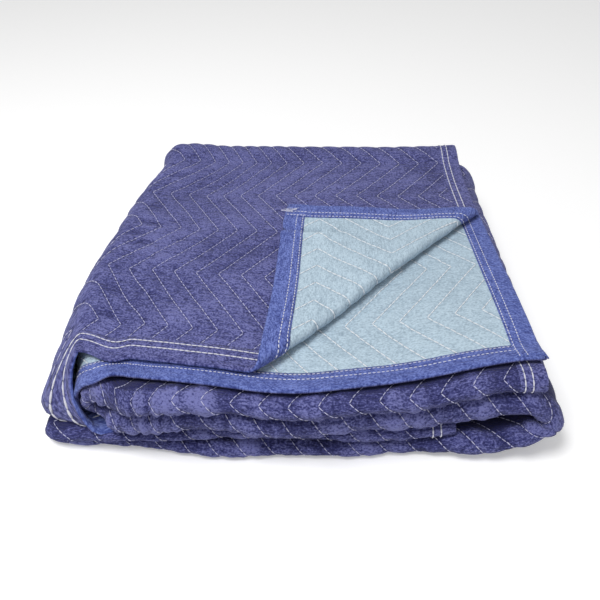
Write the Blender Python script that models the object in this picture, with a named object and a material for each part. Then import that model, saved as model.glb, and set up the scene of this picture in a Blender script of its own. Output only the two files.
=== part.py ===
"""A quilted moving blanket, folded into a thick square pack with one corner turned back.

The blanket is a flat quilted pad with cloth tape sewn over its four edges. Its middle surface is
written once, as a function of two flat coordinates: u along the blanket and v across it. The pad
and each tape are made flat, cut along the folds, and then laid on that surface.

Fold 1, across: four plies of a strip, from v = 0 to v = WIDTH: ply B, a fold at the back, the two
plies of the front nose, a wide fold round the back, and ply A on top.
Fold 2, along: four panels of that strip, from u = 0 at the top right: panel 1, a turn at the left,
panel 2, a turn at the right, panel 3 on the floor, a turn at the left, and panel 4 between 2 and 3.

Metres, +Z up, front at -Y. The origin is under the middle of the pack, on the surface below it.
"""

import math

import bmesh
import bpy
import numpy as np

# The cloth
PAD_THICKNESS = 0.0054
EDGE_THICKNESS = 0.0030  # the pad, pressed flat under its tape
EDGE_TAPER = 0.052  # from the edge to where the pad has its full thickness
TAPE_WIDTH = 0.024
TAPE_THICKNESS = 0.0008
CLEARANCE = 0.0004  # between the pad and a tape, and between two tapes

# The pack
PACK_WIDTH = 0.514
PACK_DEPTH = 0.470
PITCH = 0.0068  # height of one ply in the stack
PANEL_GAP = 0.0012  # between two panels of the strip
TURN_GAP = 0.0044  # the same, opened where the strip turns
TURN_LEAD = 0.085  # length over which the gap opens
BACK_PUFF = 0.0018  # the strip is this much thicker along its back folds
BACK_LEAD = 0.060
STACK = 16 * PITCH
BOW_MIDDLE = 0.008  # how far the top plies' front stands forward in the middle
BOW_RIGHT = 0.026  # and back at the right end
BOW_LEFT = 0.000  # and at the left one
FRONT_DROOP = 0.006
EDGE_DROOP = 0.004
TOP_WAVE = 0.0016
CURL_RIGHT = 0.017
CURL_LEAD = 0.150
SQUEEZES = ((0.024, -0.120, 0.090), (0.026, 0.080, 0.200))  # the left side steps in, from y to y
TOP_SQUEEZE = 0.003  # and so far at the top
CENTRE = (0.0026, -0.0031)  # of the box round the pack, before it is moved over the origin

# Front edges, as distances behind the nose
NOSE_REACH = 0.013  # depth of the round front of the nose
NOSE_LEAD = 0.046  # from the nose to where its plies close
EDGE_B_TOP = 0.020
EDGE_B_DEEP = 0.052
EDGE_A_TOP = 0.038
EDGE_A_DEEP = 0.072
EDGE_WAVE = 0.002

# Back folds
BACK_INSET = 0.0215  # from the back of the pack to where the folds start
INNER_REACH = 0.0055
OUTER_REACH = 0.0165
PUFF_END = 0.020  # the puff is full this far from the back
LOOSENESS = 0.0004  # of plies A and B, over the plies that they lie on

# Ends of the panels
END_1 = PACK_WIDTH / 2 - 0.033
TURN_12 = -PACK_WIDTH / 2 + 0.030
TURN_23 = PACK_WIDTH / 2 - 0.041
TURN_34 = -PACK_WIDTH / 2 + 0.036
END_4 = 0.156
END_WAVE = 0.005

# Flat lengths of the stretches along and across
ALONG = (
    ("panel_1", 0.444),
    ("turn_12", 0.064),
    ("panel_2", 0.432),
    ("turn_23", 0.096),
    ("panel_3", 0.414),
    ("turn_34", 0.056),
    ("panel_4", 0.362),
)
ACROSS = (
    ("ply_b", 0.420),
    ("inner_fold", 0.016),
    ("nose_top", 0.423),
    ("nose", 0.034),
    ("nose_bottom", 0.423),
    ("outer_fold", 0.036),
    ("ply_a", 0.392),
)

# The corner of ply A that is turned back over it
CORNER_U = 0.262
CORNER_V = 0.245
CORNER_RADIUS = 0.0056
CORNER_SETTLE = 0.060  # the flap comes down onto the ply over this length

TAPE_ROUND = 3  # faces round a tape's edge

# The quilting: zigzag lines across the blanket, this far apart along it
QUILT_PITCH = 0.027
QUILT_ROW = 0.080  # from one corner of a zigzag to the next
QUILT_SHIFT = 0.066  # sideways from one corner to the next
QUILT_DEPTH = 0.0014
QUILT_START = 0.030  # the first row of corners, from the start of ply A

LEAST_STEP = 0.003  # between two cuts
SPLIT_SHEAR = 0.2


def starts(stretches):
    """The flat coordinate at which each named stretch starts, and the whole length."""
    found, place = {}, 0.0
    for name, length in stretches:
        found[name] = place
        place += length
    return found, place


U_AT, LENGTH = starts(ALONG)
V_AT, WIDTH = starts(ACROSS)
SPAN = dict(ALONG + ACROSS)


def ease(value, low, high):
    """0 below low, 1 above high, and smooth between."""
    share = np.clip((value - low) / (high - low), 0, 1)
    return share * share * (3 - 2 * share)


def mix(a, b, share):
    return a + (b - a) * share


def at_top(u):
    """1 on panel 1, falling to 0 in the turn after it."""
    return 1 - ease(u, U_AT["turn_12"] - 0.050, U_AT["turn_12"] + 0.020)


def at_first_turn(u):
    """1 in the first turn, 0 by its lower end."""
    start = U_AT["turn_12"]
    return ease(u, start - 0.020, start + 0.020) * (1 - ease(u, start + 0.035, start + 0.062))


def nose_tip(u):
    """Y of the front of the nose."""
    deep = ease(u, U_AT["turn_12"], U_AT["panel_2"])
    last = ease(u, U_AT["turn_34"], U_AT["panel_4"])
    wave = 0.0025 * np.sin(u * 23.0 + 0.6) + 0.0015 * np.sin(u * 51.0)
    return -PACK_DEPTH / 2 + 0.004 + 0.002 * deep + 0.006 * last + wave


def nose_level(u):
    """Height of the nose's upper ply at the front, in the strip."""
    wave = 0.0008 * np.sin(u * 37.0 + 1.0)
    full = 3.0 + 0.3 * at_first_turn(u)
    return PAD_THICKNESS / 2 + mix(full, 1.85, at_top(u)) * PITCH + wave


def puff(y):
    """How much thicker the strip is, near its back folds."""
    return BACK_PUFF * ease(y, PACK_DEPTH / 2 - BACK_LEAD, PACK_DEPTH / 2 - PUFF_END)


def strip_thickness(y):
    return 4 * PITCH + puff(y)


def across(u, v):
    """Y, and the height in the strip, of the middle of the cloth."""
    tip = nose_tip(u)
    low = PAD_THICKNESS / 2
    back = PACK_DEPTH / 2 - BACK_INSET
    front = tip + NOSE_REACH
    edge_b = tip + mix(EDGE_B_DEEP, EDGE_B_TOP, at_top(u)) + EDGE_WAVE * np.sin(u * 17.0)
    edge_a = tip + mix(EDGE_A_DEEP, EDGE_A_TOP, at_top(u)) + EDGE_WAVE * np.sin(u * 13.0 + 1.0)

    def upper(y):
        opened = 1 - ease(y - tip, NOSE_REACH, NOSE_LEAD)
        return mix(low + PITCH, nose_level(u), opened)

    def level_b(y):
        return upper(y) + PITCH + LOOSENESS + puff(y)

    def level_a(y):
        return upper(y) + 2 * PITCH + LOOSENESS + puff(y)

    def fold(share, y, reach, high, bottom):
        """A half turn from the level high down to the level bottom."""
        angle = math.pi * share
        return y + reach * np.sin(angle), (high + bottom) / 2 + (high - bottom) / 2 * np.cos(angle)

    def share(name):
        return (v - V_AT[name]) / SPAN[name]

    y_b = mix(edge_b, back, share("ply_b"))
    y_up = mix(back, front, share("nose_top"))
    y_low = mix(front, back, share("nose_bottom"))
    y_a = mix(back, edge_a, share("ply_a"))
    at_back, floor = np.full_like(v, back), np.full_like(v, low)
    pieces = (
        (y_b, level_b(y_b)),
        fold(share("inner_fold"), at_back, INNER_REACH, level_b(at_back), upper(at_back)),
        (y_up, upper(y_up)),
        fold(share("nose"), front, -NOSE_REACH, upper(front), floor),
        (y_low, floor),
        fold(1 - share("outer_fold"), at_back, OUTER_REACH, level_a(at_back), floor),
        (y_a, level_a(y_a)),
    )
    which = np.searchsorted(list(V_AT.values())[1:], v, side="right")
    y = np.choose(which, [piece[0] for piece in pieces])
    s = np.choose(which, [piece[1] for piece in pieces])
    return y, s


def along(u, v, y, s):
    """X and Z, from the place along the strip and the height s in it."""
    thick = strip_thickness(y)

    def share(name):
        return (u - U_AT[name]) / SPAN[name]

    def opened(x, turn):
        return mix(TURN_GAP, PANEL_GAP, ease(x, turn, turn + TURN_LEAD))

    def top_of_2(x):
        return 3 * thick + opened(x, TURN_34) + PANEL_GAP

    end_1 = END_1 + END_WAVE * np.sin(v * 7.0 + 1.2)
    end_4 = END_4 + END_WAVE * np.sin(v * 6.0)
    x_1 = mix(end_1, TURN_12, share("panel_1"))
    x_2 = mix(TURN_12, TURN_23, share("panel_2"))
    x_3 = mix(TURN_23, TURN_34, share("panel_3"))
    x_4 = mix(TURN_34, end_4, share("panel_4"))
    angle_12 = math.pi * share("turn_12")
    angle_23 = math.pi * share("turn_23")
    angle_34 = math.pi * share("turn_34")
    height_2 = top_of_2(x_2)
    at_12, at_23 = top_of_2(np.full_like(u, TURN_12)), top_of_2(np.full_like(u, TURN_23))
    radius_12 = TURN_GAP / 2 + s
    radius_23 = at_23 / 2 - s
    middle_34 = (2 * thick + TURN_GAP) / 2
    radius_34 = middle_34 - s
    pieces = (
        (x_1, top_of_2(x_1) + opened(x_1, TURN_12) + s),
        (
            TURN_12 - radius_12 * np.sin(angle_12),
            at_12 + TURN_GAP / 2 + radius_12 * np.cos(angle_12),
        ),
        (x_2, height_2 - s),
        (TURN_23 + radius_23 * np.sin(angle_23), at_23 / 2 + radius_23 * np.cos(angle_23)),
        (x_3, s),
        (TURN_34 - radius_34 * np.sin(angle_34), middle_34 - radius_34 * np.cos(angle_34)),
        (x_4, 2 * thick + opened(x_4, TURN_34) - s),
    )
    which = np.searchsorted(list(U_AT.values())[1:], u, side="right")
    x = np.choose(which, [piece[0] for piece in pieces])
    z = np.choose(which, [piece[1] for piece in pieces])
    return x, z


def turn_corner(u, v):
    """The flat place under each point once the corner is turned back, and how far it is lifted."""
    size = math.hypot(CORNER_U, CORNER_V)
    normal_u, normal_v = -CORNER_V / size, CORNER_U / size
    past = (u - CORNER_U) * normal_u + (v - WIDTH) * normal_v
    past = np.where((u < U_AT["turn_12"]) & (v > V_AT["ply_a"]), past, -1.0)
    angle = np.clip(past / CORNER_RADIUS, 0, math.pi)
    beyond = np.clip(past - math.pi * CORNER_RADIUS, 0, None)
    moved = CORNER_RADIUS * np.sin(angle) - beyond - np.clip(past, 0, None)
    drop = (2 * CORNER_RADIUS - PITCH) * ease(beyond, 0, CORNER_SETTLE)
    lift = CORNER_RADIUS * (1 - np.cos(angle)) - drop
    return u + moved * normal_u, v + moved * normal_v, lift


def settle(x, y, z):
    """The pack's own unevenness: the sides lean and the top waves, all plies together."""
    high = np.clip((z - PITCH) / (STACK - PITCH), 0, None)
    left = 1 - ease(x, -PACK_WIDTH / 2, 0.02)
    right = ease(x, 0.0, PACK_WIDTH / 2)
    front = 1 - ease(y, -PACK_DEPTH / 2, 0.05)
    squeeze = TOP_SQUEEZE * high + sum(step * ease(y, *stretch) for step, *stretch in SQUEEZES)
    wave = TOP_WAVE * np.sin(x * 16.0 + 0.8) * np.sin(y * 13.0 + 0.3)
    valley = -TOP_WAVE * np.exp(-(((y - 0.125 - 0.10 * x) / 0.040) ** 2))
    worn = -EDGE_DROOP * (ease(-x, 0.15, 0.27) + 0.7 * ease(np.abs(y), 0.15, 0.27))
    droop = -FRONT_DROOP * front * (1 - right)
    # The big turn at the right is round: it curls up off the surface.
    curl = CURL_RIGHT * ease(x, PACK_WIDTH / 2 - CURL_LEAD, PACK_WIDTH / 2) * (1 - 0.6 * high)
    # The upper plies' front bulges in the middle and lies back at the ends, most at the right.
    bow = BOW_MIDDLE - (BOW_MIDDLE + BOW_RIGHT) * right - (BOW_MIDDLE + BOW_LEFT) * left**3
    return (
        x + left * squeeze - CENTRE[0],
        y - bow * front * high - CENTRE[1],
        z + high * (wave + valley + worn + droop) + curl,
    )


def middle(u, v):
    """The middle surface of the folded blanket."""
    under_u, under_v, lift = turn_corner(u, v)
    y, s = across(under_u, under_v)
    x, z = along(under_u, under_v, y, s + lift)
    return np.stack(settle(x, y, z), axis=-1)


def laid(u, v, w):
    """Where a point of the flat blanket lies, w above its middle."""
    step = 0.0002
    du = middle(u + step, v) - middle(u - step, v)
    dv = middle(u, v + step) - middle(u, v - step)
    normal = np.cross(du, dv)
    normal /= np.linalg.norm(normal, axis=-1, keepdims=True)
    return middle(u, v) + normal * np.asarray(w)[..., None]


def half_pad(u, v):
    """Half the pad's thickness."""
    inward = np.minimum(np.minimum(u, LENGTH - u), np.minimum(v, WIDTH - v))
    return mix(EDGE_THICKNESS, PAD_THICKNESS, ease(inward, TAPE_WIDTH, EDGE_TAPER)) / 2


def zigzag(v):
    """How far the quilting lines lie along u, at each place across."""
    row = (v - V_AT["ply_a"] - QUILT_START) / QUILT_ROW
    return QUILT_SHIFT * (1 - np.abs(row % 2 - 1))


def quilting(u, v):
    """1 on a quilting line, 0 halfway to the next."""
    place = (u - zigzag(v)) / QUILT_PITCH
    return 1 - 2 * np.abs(place - np.round(place))


def stations(stretches, even, ends, shared, extra):
    """Flat places to cut at.

    The bends, which even lists, are cut in that many steps. Each flat stretch, which ends lists
    with where its two ends lie in the pack, is cut at the same shared places of the pack as its
    neighbours above and below, so that their faces stay parallel.
    """
    found, place = set(extra), 0.0
    for name, length in stretches:
        found |= {round(place, 6), round(place + length, 6)}
        if name in even:
            found |= {round(place + length * k / even[name], 6) for k in range(even[name])}
        else:
            first, last = ends[name]
            shares = [(spot - first) / (last - first) for spot in shared]
            found |= {round(place + length * share, 6) for share in shares if 0 < share < 1}
        place += length
    kept = []
    for place in sorted(found):
        if kept and place - kept[-1] < LEAST_STEP:
            if kept[-1] in extra:
                continue
            kept.pop()
        kept.append(place)
    return kept


TURN_STEPS = {"turn_12": 8, "turn_23": 7, "turn_34": 6}
FOLD_STEPS = {"inner_fold": 4, "nose": 6, "outer_fold": 6}
PANEL_ENDS = {
    "panel_1": (END_1, TURN_12),
    "panel_2": (TURN_12, TURN_23),
    "panel_3": (TURN_23, TURN_34),
    "panel_4": (TURN_34, END_4),
}
FRONT = -PACK_DEPTH / 2
BACK = PACK_DEPTH / 2 - BACK_INSET
PLY_ENDS = {
    "ply_b": (FRONT + EDGE_B_DEEP, BACK),
    "nose_top": (BACK, FRONT + NOSE_REACH),
    "nose_bottom": (FRONT + NOSE_REACH, BACK),
    "ply_a": (BACK, FRONT + EDGE_A_DEEP),
}
X_SHARED = (-0.150, -0.050, 0.050, 0.130, END_1 - TAPE_WIDTH)
Y_SHARED = (-0.125, -0.040, 0.030, 0.090, 0.150)
# Where the nose closes, its upper ply and ply B over it bend: they are cut this often there.
RISE_STEPS = (0.008, 0.016, 0.024, 0.032)
RISE_AT = tuple(V_AT["nose"] - step for step in RISE_STEPS) + RISE_STEPS[:2] + (0.042,)
LOOSENING_AT = (U_AT["turn_12"] - 0.050, U_AT["turn_12"] - 0.032, U_AT["turn_12"] - 0.016)
SHORT_TAPE_AT = (TAPE_WIDTH, LENGTH - TAPE_WIDTH)
LONG_TAPE_AT = (TAPE_WIDTH, WIDTH - TAPE_WIDTH)
U_STATIONS = stations(
    ALONG, TURN_STEPS, PANEL_ENDS, X_SHARED, {0.0, LENGTH, *SHORT_TAPE_AT, *LOOSENING_AT}
)
V_STATIONS = stations(
    ACROSS, FOLD_STEPS, PLY_ENDS, Y_SHARED, {0.0, WIDTH, *LONG_TAPE_AT, *RISE_AT}
)


def cut(bm, places, axis):
    """Cuts the flat mesh straight across at each place along one axis."""
    for place in places:
        point = [0.0, 0.0, 0.0]
        normal = [0.0, 0.0, 0.0]
        point[axis], normal[axis] = place, 1.0
        whole = bm.verts[:] + bm.edges[:] + bm.faces[:]
        bmesh.ops.bisect_plane(bm, geom=whole, dist=1e-7, plane_co=point, plane_no=normal)


def flat_sheet(u_places, v_places):
    """A flat sheet in the XY plane, cut at the given places."""
    bm = bmesh.new()
    bmesh.ops.create_grid(bm, x_segments=1, y_segments=1, size=0.5)
    u_span, v_span = u_places[-1] - u_places[0], v_places[-1] - v_places[0]
    for vert in bm.verts:
        vert.co.x = u_places[0] + (vert.co.x + 0.5) * u_span
        vert.co.y = v_places[0] + (vert.co.y + 0.5) * v_span
    cut(bm, u_places[1:-1], 0)
    cut(bm, v_places[1:-1], 1)
    return bm


def cut_corner(bm):
    """Cuts the flat body along the turned corner's fold and round its bend."""
    size = math.hypot(CORNER_U, CORNER_V)
    normal = (-CORNER_V / size, CORNER_U / size, 0.0)
    bend = math.pi * CORNER_RADIUS
    for past in (0.0, bend / 4, bend / 2, bend * 3 / 4, bend, bend + CORNER_SETTLE / 2):
        faces = [
            face
            for face in bm.faces
            if max(vert.co.x for vert in face.verts) < U_AT["turn_12"] + 1e-6
            and min(vert.co.y for vert in face.verts) > V_AT["ply_a"] - 1e-6
        ]
        if not faces:
            return
        edges = list({edge for face in faces for edge in face.edges})
        points = list({vert for face in faces for vert in face.verts})
        place = (CORNER_U + normal[0] * past, WIDTH + normal[1] * past, 0.0)
        bmesh.ops.bisect_plane(
            bm, geom=faces + edges + points, dist=1e-5, plane_co=place, plane_no=normal
        )


def quilt_top(bm):
    """Cuts the upper face of ply A along the quilting lines and the crests between them.

    It returns the points of those faces. The faces lie at Z = 1 and stop at the turned corner.
    """
    low_v, high_v = V_AT["ply_a"], WIDTH - TAPE_WIDTH
    low_u, high_u = TAPE_WIDTH, U_AT["turn_12"]
    rows = [low_v]
    place = low_v + QUILT_START
    while place < high_v:
        rows.append(place)
        place += QUILT_ROW
    rows.append(high_v)

    def inside(face, low, high):
        middle = face.calc_center_median()
        past = (middle.x - CORNER_U) * -CORNER_V + (middle.y - WIDTH) * CORNER_U
        flat = min(vert.co.z for vert in face.verts) > 0.999
        return flat and low_u < middle.x < high_u and low < middle.y < high and past < 0

    def part(faces, point, normal):
        edges = list({edge for face in faces for edge in face.edges})
        points = list({vert for face in faces for vert in face.verts})
        bmesh.ops.bisect_plane(
            bm, geom=faces + edges + points, dist=1e-5, plane_co=point, plane_no=normal
        )

    for row in rows[1:-1]:
        part([face for face in bm.faces if inside(face, low_v, high_v)], (0, row, 0), (0, 1, 0))
    for low, high in zip(rows[:-1], rows[1:]):
        run = float(zigzag((low + high) / 2 + 0.001) - zigzag((low + high) / 2 - 0.001)) / 0.002
        base = float(zigzag((low + high) / 2)) - run * (low + high) / 2
        count = int(high_u / QUILT_PITCH * 2) + 8
        for k in range(-8, count):
            start = base + k * QUILT_PITCH / 2
            faces = [face for face in bm.faces if inside(face, low, high)]
            part(faces, (start, 0, 0), (1, -run, 0))
    return {v for face in bm.faces if inside(face, low_v, high_v) for v in face.verts}


def thicken(bm):
    """A copy of the sheet at Z = 1, joined to it by a wall round the rim."""
    made = bmesh.ops.extrude_face_region(bm, geom=bm.faces[:])
    for item in made["geom"]:
        if isinstance(item, bmesh.types.BMVert):
            item.co.z = 1.0
    bmesh.ops.recalc_face_normals(bm, faces=bm.faces[:])


def fold_up(bm, name, material):
    """Lays a flat body, cut along the folds, on the folded surface and makes it an object."""
    # Sheared for a moment, the pad's and the tapes' rectangles all split along the same diagonal.
    for vert in bm.verts:
        vert.co.x += SPLIT_SHEAR * vert.co.y
    bmesh.ops.triangulate(bm, faces=bm.faces[:], quad_method="SHORT_EDGE", ngon_method="BEAUTY")
    flat = np.array([vert.co[:] for vert in bm.verts])
    flat[:, 0] -= SPLIT_SHEAR * flat[:, 1]
    for vert, spot in zip(bm.verts, laid(*flat.T)):
        vert.co = spot
    if bm.calc_volume(signed=True) < 0:
        bmesh.ops.reverse_faces(bm, faces=bm.faces[:])
    mesh = bpy.data.meshes.new(name)
    bm.to_mesh(mesh)
    bm.free()
    mesh.shade_smooth()
    mesh.materials.append(material)
    obj = bpy.data.objects.new(name, mesh)
    bpy.data.collections["moving_blanket"].objects.link(obj)
    return obj


def cloth(name, colour, roughness):
    material = bpy.data.materials.new(name)
    material.use_nodes = True
    shader = material.node_tree.nodes["Principled BSDF"]
    shader.inputs["Base Color"].default_value = (*colour, 1.0)
    shader.inputs["Roughness"].default_value = roughness
    shader.inputs["Metallic"].default_value = 0.0
    return material


def add_pad(material):
    bm = flat_sheet(U_STATIONS, V_STATIONS)
    cut_corner(bm)
    thicken(bm)
    quilted = quilt_top(bm)
    for vert in bm.verts:
        u, v = vert.co.x, vert.co.y
        puffed = (2 * half_pad(u, v) - EDGE_THICKNESS) / (PAD_THICKNESS - EDGE_THICKNESS)
        sunk = QUILT_DEPTH * quilting(u, v) * puffed if vert in quilted else 0.0
        vert.co.z = (2 * vert.co.z - 1) * half_pad(u, v) - sunk
    return fold_up(bm, "quilted_pad", material)


def add_tape(name, along_u, far_edge, material):
    """A tape folded over one edge of the pad. Its sheet is cut along its run and its section.

    The section runs from 0 at the upper lip's free edge to 1 where the lip meets the pad's edge,
    on to 2 round the edge, and to 3 at the lower lip's free edge.
    """
    size = WIDTH if along_u else LENGTH
    places = U_STATIONS if along_u else V_STATIONS
    if not along_u:
        low, high = TAPE_WIDTH + CLEARANCE, WIDTH - TAPE_WIDTH - CLEARANCE
        inside = [p for p in places if low + LEAST_STEP < p < high - LEAST_STEP]
        places = [low, *inside, high]
    bm = flat_sheet(places, [0.0, *(1 + k / TAPE_ROUND for k in range(TAPE_ROUND + 1)), 3.0])
    thicken(bm)
    for vert in bm.verts:
        run, section, outer = vert.co
        inset = TAPE_WIDTH * max(1 - section, section - 2, 0.0)
        angle = math.pi * min(max(section - 1, 0.0), 1.0)
        u, v = (run, inset) if along_u else (inset, run)
        reach = half_pad(u, v) + CLEARANCE + TAPE_THICKNESS * outer
        edge = inset - reach * math.sin(angle)
        place = size - edge if far_edge else edge
        vert.co = (*((run, place) if along_u else (place, run)), reach * math.cos(angle))
    stop = TAPE_WIDTH - LEAST_STEP
    crossing = V_STATIONS if along_u else U_STATIONS
    lips = [p for p in crossing if LEAST_STEP < (size - p if far_edge else p) < stop]
    cut(bm, lips, 1 if along_u else 0)
    cut_corner(bm)
    return fold_up(bm, name, material)


def main():
    for obj in list(bpy.data.objects):
        bpy.data.objects.remove(obj, do_unlink=True)
    collection = bpy.data.collections.new("moving_blanket")
    bpy.context.scene.collection.children.link(collection)
    pad = cloth("quilted_cotton", (0.030, 0.040, 0.110), 0.92)
    tape = cloth("binding_cloth", (0.090, 0.150, 0.300), 0.90)
    add_pad(pad)
    add_tape("binding_long_a", True, True, tape)
    add_tape("binding_long_b", True, False, tape)
    add_tape("binding_end_1", False, False, tape)
    add_tape("binding_end_4", False, True, tape)


main()
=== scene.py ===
"""Looks for a folded moving blanket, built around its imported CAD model.

The cloth is worked out flat, in metres: u along the blanket, v across it, and w up from the
middle of the pad, towards its navy face. The pad, the tapes and every stitch are made on the
flat cloth and then laid on the folded surface, which has the same folds as the CAD solids.
"""

import math

import bmesh
import bpy
import numpy as np
from mathutils import Matrix, Vector, noise


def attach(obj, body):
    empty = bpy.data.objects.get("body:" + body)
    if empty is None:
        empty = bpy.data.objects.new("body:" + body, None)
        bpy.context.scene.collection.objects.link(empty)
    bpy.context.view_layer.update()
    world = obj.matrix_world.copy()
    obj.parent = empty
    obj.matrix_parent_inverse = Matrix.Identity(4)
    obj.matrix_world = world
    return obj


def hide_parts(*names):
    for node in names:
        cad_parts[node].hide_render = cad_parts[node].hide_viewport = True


bl_info = {
    "name": "Folded moving blanket",
    "version": (1, 0, 0),
    "blender": (4, 5, 0),
    "location": "View3D > Sidebar > Blanket",
    "description": "Dresses the folded blanket's solids with quilted cloth, tapes and stitches",
    "category": "Object",
}

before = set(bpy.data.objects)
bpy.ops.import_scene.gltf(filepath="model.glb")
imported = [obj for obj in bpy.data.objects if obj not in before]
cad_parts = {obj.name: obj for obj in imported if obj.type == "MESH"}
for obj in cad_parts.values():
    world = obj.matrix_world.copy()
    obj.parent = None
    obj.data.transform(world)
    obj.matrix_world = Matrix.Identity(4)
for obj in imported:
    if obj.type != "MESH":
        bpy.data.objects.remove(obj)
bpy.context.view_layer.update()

# The folded pack, as in the solids
PAD_THICKNESS = 0.0054
EDGE_THICKNESS = 0.0030
EDGE_TAPER = 0.052
TAPE_WIDTH = 0.024
PACK_WIDTH = 0.514
PACK_DEPTH = 0.470
PITCH = 0.0068
PLIES = 4  # in each of the four panels
STACK = 4 * PLIES * PITCH
PANEL_GAP = 0.0012
TURN_GAP = 0.0044
TURN_LEAD = 0.085
BACK_PUFF = 0.0018
BACK_LEAD = 0.060
PUFF_END = 0.020
CENTRE = (0.0026, -0.0031)  # of the pack before it is moved to the middle
BACK_INSET = 0.0215
INNER_REACH = 0.0055
OUTER_REACH = 0.0165
LOOSENESS = 0.0004
ALONG = (
    ("panel_1", 0.444),
    ("turn_12", 0.064),
    ("panel_2", 0.432),
    ("turn_23", 0.096),
    ("panel_3", 0.414),
    ("turn_34", 0.056),
    ("panel_4", 0.362),
)
ACROSS = (
    ("ply_b", 0.420),
    ("inner_fold", 0.016),
    ("nose_top", 0.423),
    ("nose", 0.034),
    ("nose_bottom", 0.423),
    ("outer_fold", 0.036),
    ("ply_a", 0.392),
)
END_1 = PACK_WIDTH / 2 - 0.033
TURN_12 = -PACK_WIDTH / 2 + 0.030
TURN_23 = PACK_WIDTH / 2 - 0.041
TURN_34 = -PACK_WIDTH / 2 + 0.036
END_4 = 0.156

# The noses, and how deep the two edges lie behind their front
NOSE_FRONT = -PACK_DEPTH / 2 + 0.004
NOSE_REACH = 0.013
NOSE_LEAD = 0.046
NOSE_DEEPER = (0.002, 0.006)  # how much deeper the noses lie after the first turn and the last
NOSE_HEIGHTS = (3.0, 1.85, 1.4)  # of their upper ply, in pitches: full, on top, in the first turn
EDGE_B_TOP, EDGE_B_DEEP = 0.020, 0.052
EDGE_A_TOP, EDGE_A_DEEP = 0.038, 0.072

# Waves of the folded cloth: height, radians for each metre, and start
NOSE_WAVES = ((0.0025, 23.0, 0.6), (0.0015, 51.0, 0.0))
LEVEL_WAVE = (0.0008, 37.0, 1.0)
EDGE_B_WAVE, EDGE_A_WAVE = (0.002, 17.0, 0.0), (0.002, 13.0, 1.0)
END_1_WAVE, END_4_WAVE = (0.005, 7.0, 1.2), (0.005, 6.0, 0.0)
TOP_WAVES = (0.0016, 16.0, 0.8), (1.0, 13.0, 0.3)  # along X, and its share along Y

# The turned corner
CORNER_U, CORNER_V = 0.262, 0.245
CORNER_SIZE = math.hypot(CORNER_U, CORNER_V)
CORNER_NORMAL = (-CORNER_V / CORNER_SIZE, CORNER_U / CORNER_SIZE)
CORNER_RADIUS = 0.0056
CORNER_BEND = math.pi * CORNER_RADIUS
CORNER_CUTS = 8  # steps round its bend
CORNER_SETTLE = 0.060

# The first turn at the front: the nose is tucked back, the outer ply's hem runs loosely round it,
# and the plies inside turn a little sooner
TUCK = 0.024
HEM_FORWARD = 0.034
LOOSE_TURN = 0.006
INNER_SHIFT = 0.026
HEM_EVEN = 0.044  # keeps the hem from going back with the nose
HEM_RISE = 0.015  # how far back it runs towards the turn
INNER_RISE = 0.8  # how much of that the inner ply's edge follows
HEM_DOWN_FORWARD = 0.030  # and comes further forward at the bottom of the turn
EDGE_B_FORWARD = 0.045  # the inner ply's tape comes forward too
BAG_LOW = 1.9  # how much lower than halfway the outer ply bulges there: 1 is halfway
BAG_OUT = 0.014  # and how far it bulges past the turn
HEM_TIGHT = 0.80  # how much of that bulge the hem cuts off, drawn straight across the turn
TIGHT_BETWEEN = (0.10, 0.70)  # parts of the turn
HEM_ASIDE = 0.046  # how far the hem's lower end is drawn towards the middle of the pack
ASIDE_POWER = 1.5
HEM_RUN = 0.029  # how far from the edge the hem starts to draw the cloth in
HEM_FLAT = 0.002  # and how far from the edge it is drawn in fully
FRONT_PLIES = (-0.22, -0.09)  # Y over which these forms fade

# The nose of the first panel is folded on another line of the cloth than the other noses
NOSE_SKEW = 0.043

# The pack's own unevenness: how far it leans, droops and curls, and over which stretches
BOW_MIDDLE, BOW_RIGHT = 0.008, 0.026
FRONT_DROOP = 0.006
EDGE_DROOP = 0.004
EDGE_DROOPS = (0.15, 0.27)
SIDE_DROOP = 0.7  # of the droop of the ends
VALLEY = 0.0016
VALLEY_Y, VALLEY_SLANT, VALLEY_WIDTH = 0.125, 0.10, 0.040
CURL_RIGHT = 0.017
CURL_LEAD = 0.150
CURL_ON_TOP = 0.6  # the share of the curl that is lost at the top
SQUEEZES = ((0.024, -0.120, 0.090), (0.026, 0.080, 0.200))  # of the left side: depth, and Y
TOP_SQUEEZE = 0.003
LEFT_SIDE, RIGHT_SIDE = (-PACK_WIDTH / 2, 0.02), (0.0, PACK_WIDTH / 2)
FRONT_SIDE = (-PACK_DEPTH / 2, 0.05)

# The cloth round the turned corner is pulled a little to the left
FLAP_PULL = 0.011
FLAP_PULL_AT, FLAP_PULL_WIDTH = -0.035, 0.115
PULL_LOST, PULL_FADES = 0.45, (-0.22, -0.06)  # the share that is lost behind the front
PULL_ENDS, PULL_HEIGHTS = (0.02, 0.12), (0.080, 0.105)

# How the cloth sinks at the front, where little holds it up: how far each height drops in the
# middle and at the two ends of the pack, and how far it is pushed along X at the left end
SLUMP_LEVELS = (0.0, 0.027, 0.055, 0.085, 0.110, 0.126)
SLUMP_MIDDLE = (0.0, 0.008, 0.017, 0.008, 0.002, 0.0)
SLUMP_RIGHT = (0.0, 0.002, 0.022, 0.017, 0.010, 0.005)
SLUMP_LEFT = (0.0, 0.015, 0.036, 0.024, 0.010, 0.003)
PUSH_LEFT = (-0.014, -0.020, -0.006, -0.002, 0.006, 0.010)
PUSH_RIGHT = 0.008
SLUMP_Y = (-0.200, -0.020)
SLUMP_BEHIND = 0.2  # the share of the right end's slump that reaches the back
RIGHT_END, LEFT_END = (0.095, 0.200), (0.120, 0.235)
LEFT_BACK, LEFT_BACK_LEVELS = 0.014, (0.020, 0.050)  # the lowest plies lie back at the left end
BACK_LIFT, BACK_LIFT_Y, BACK_LIFT_LEVELS = 0.004, (0.10, 0.22), (0.05, 0.12)
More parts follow.
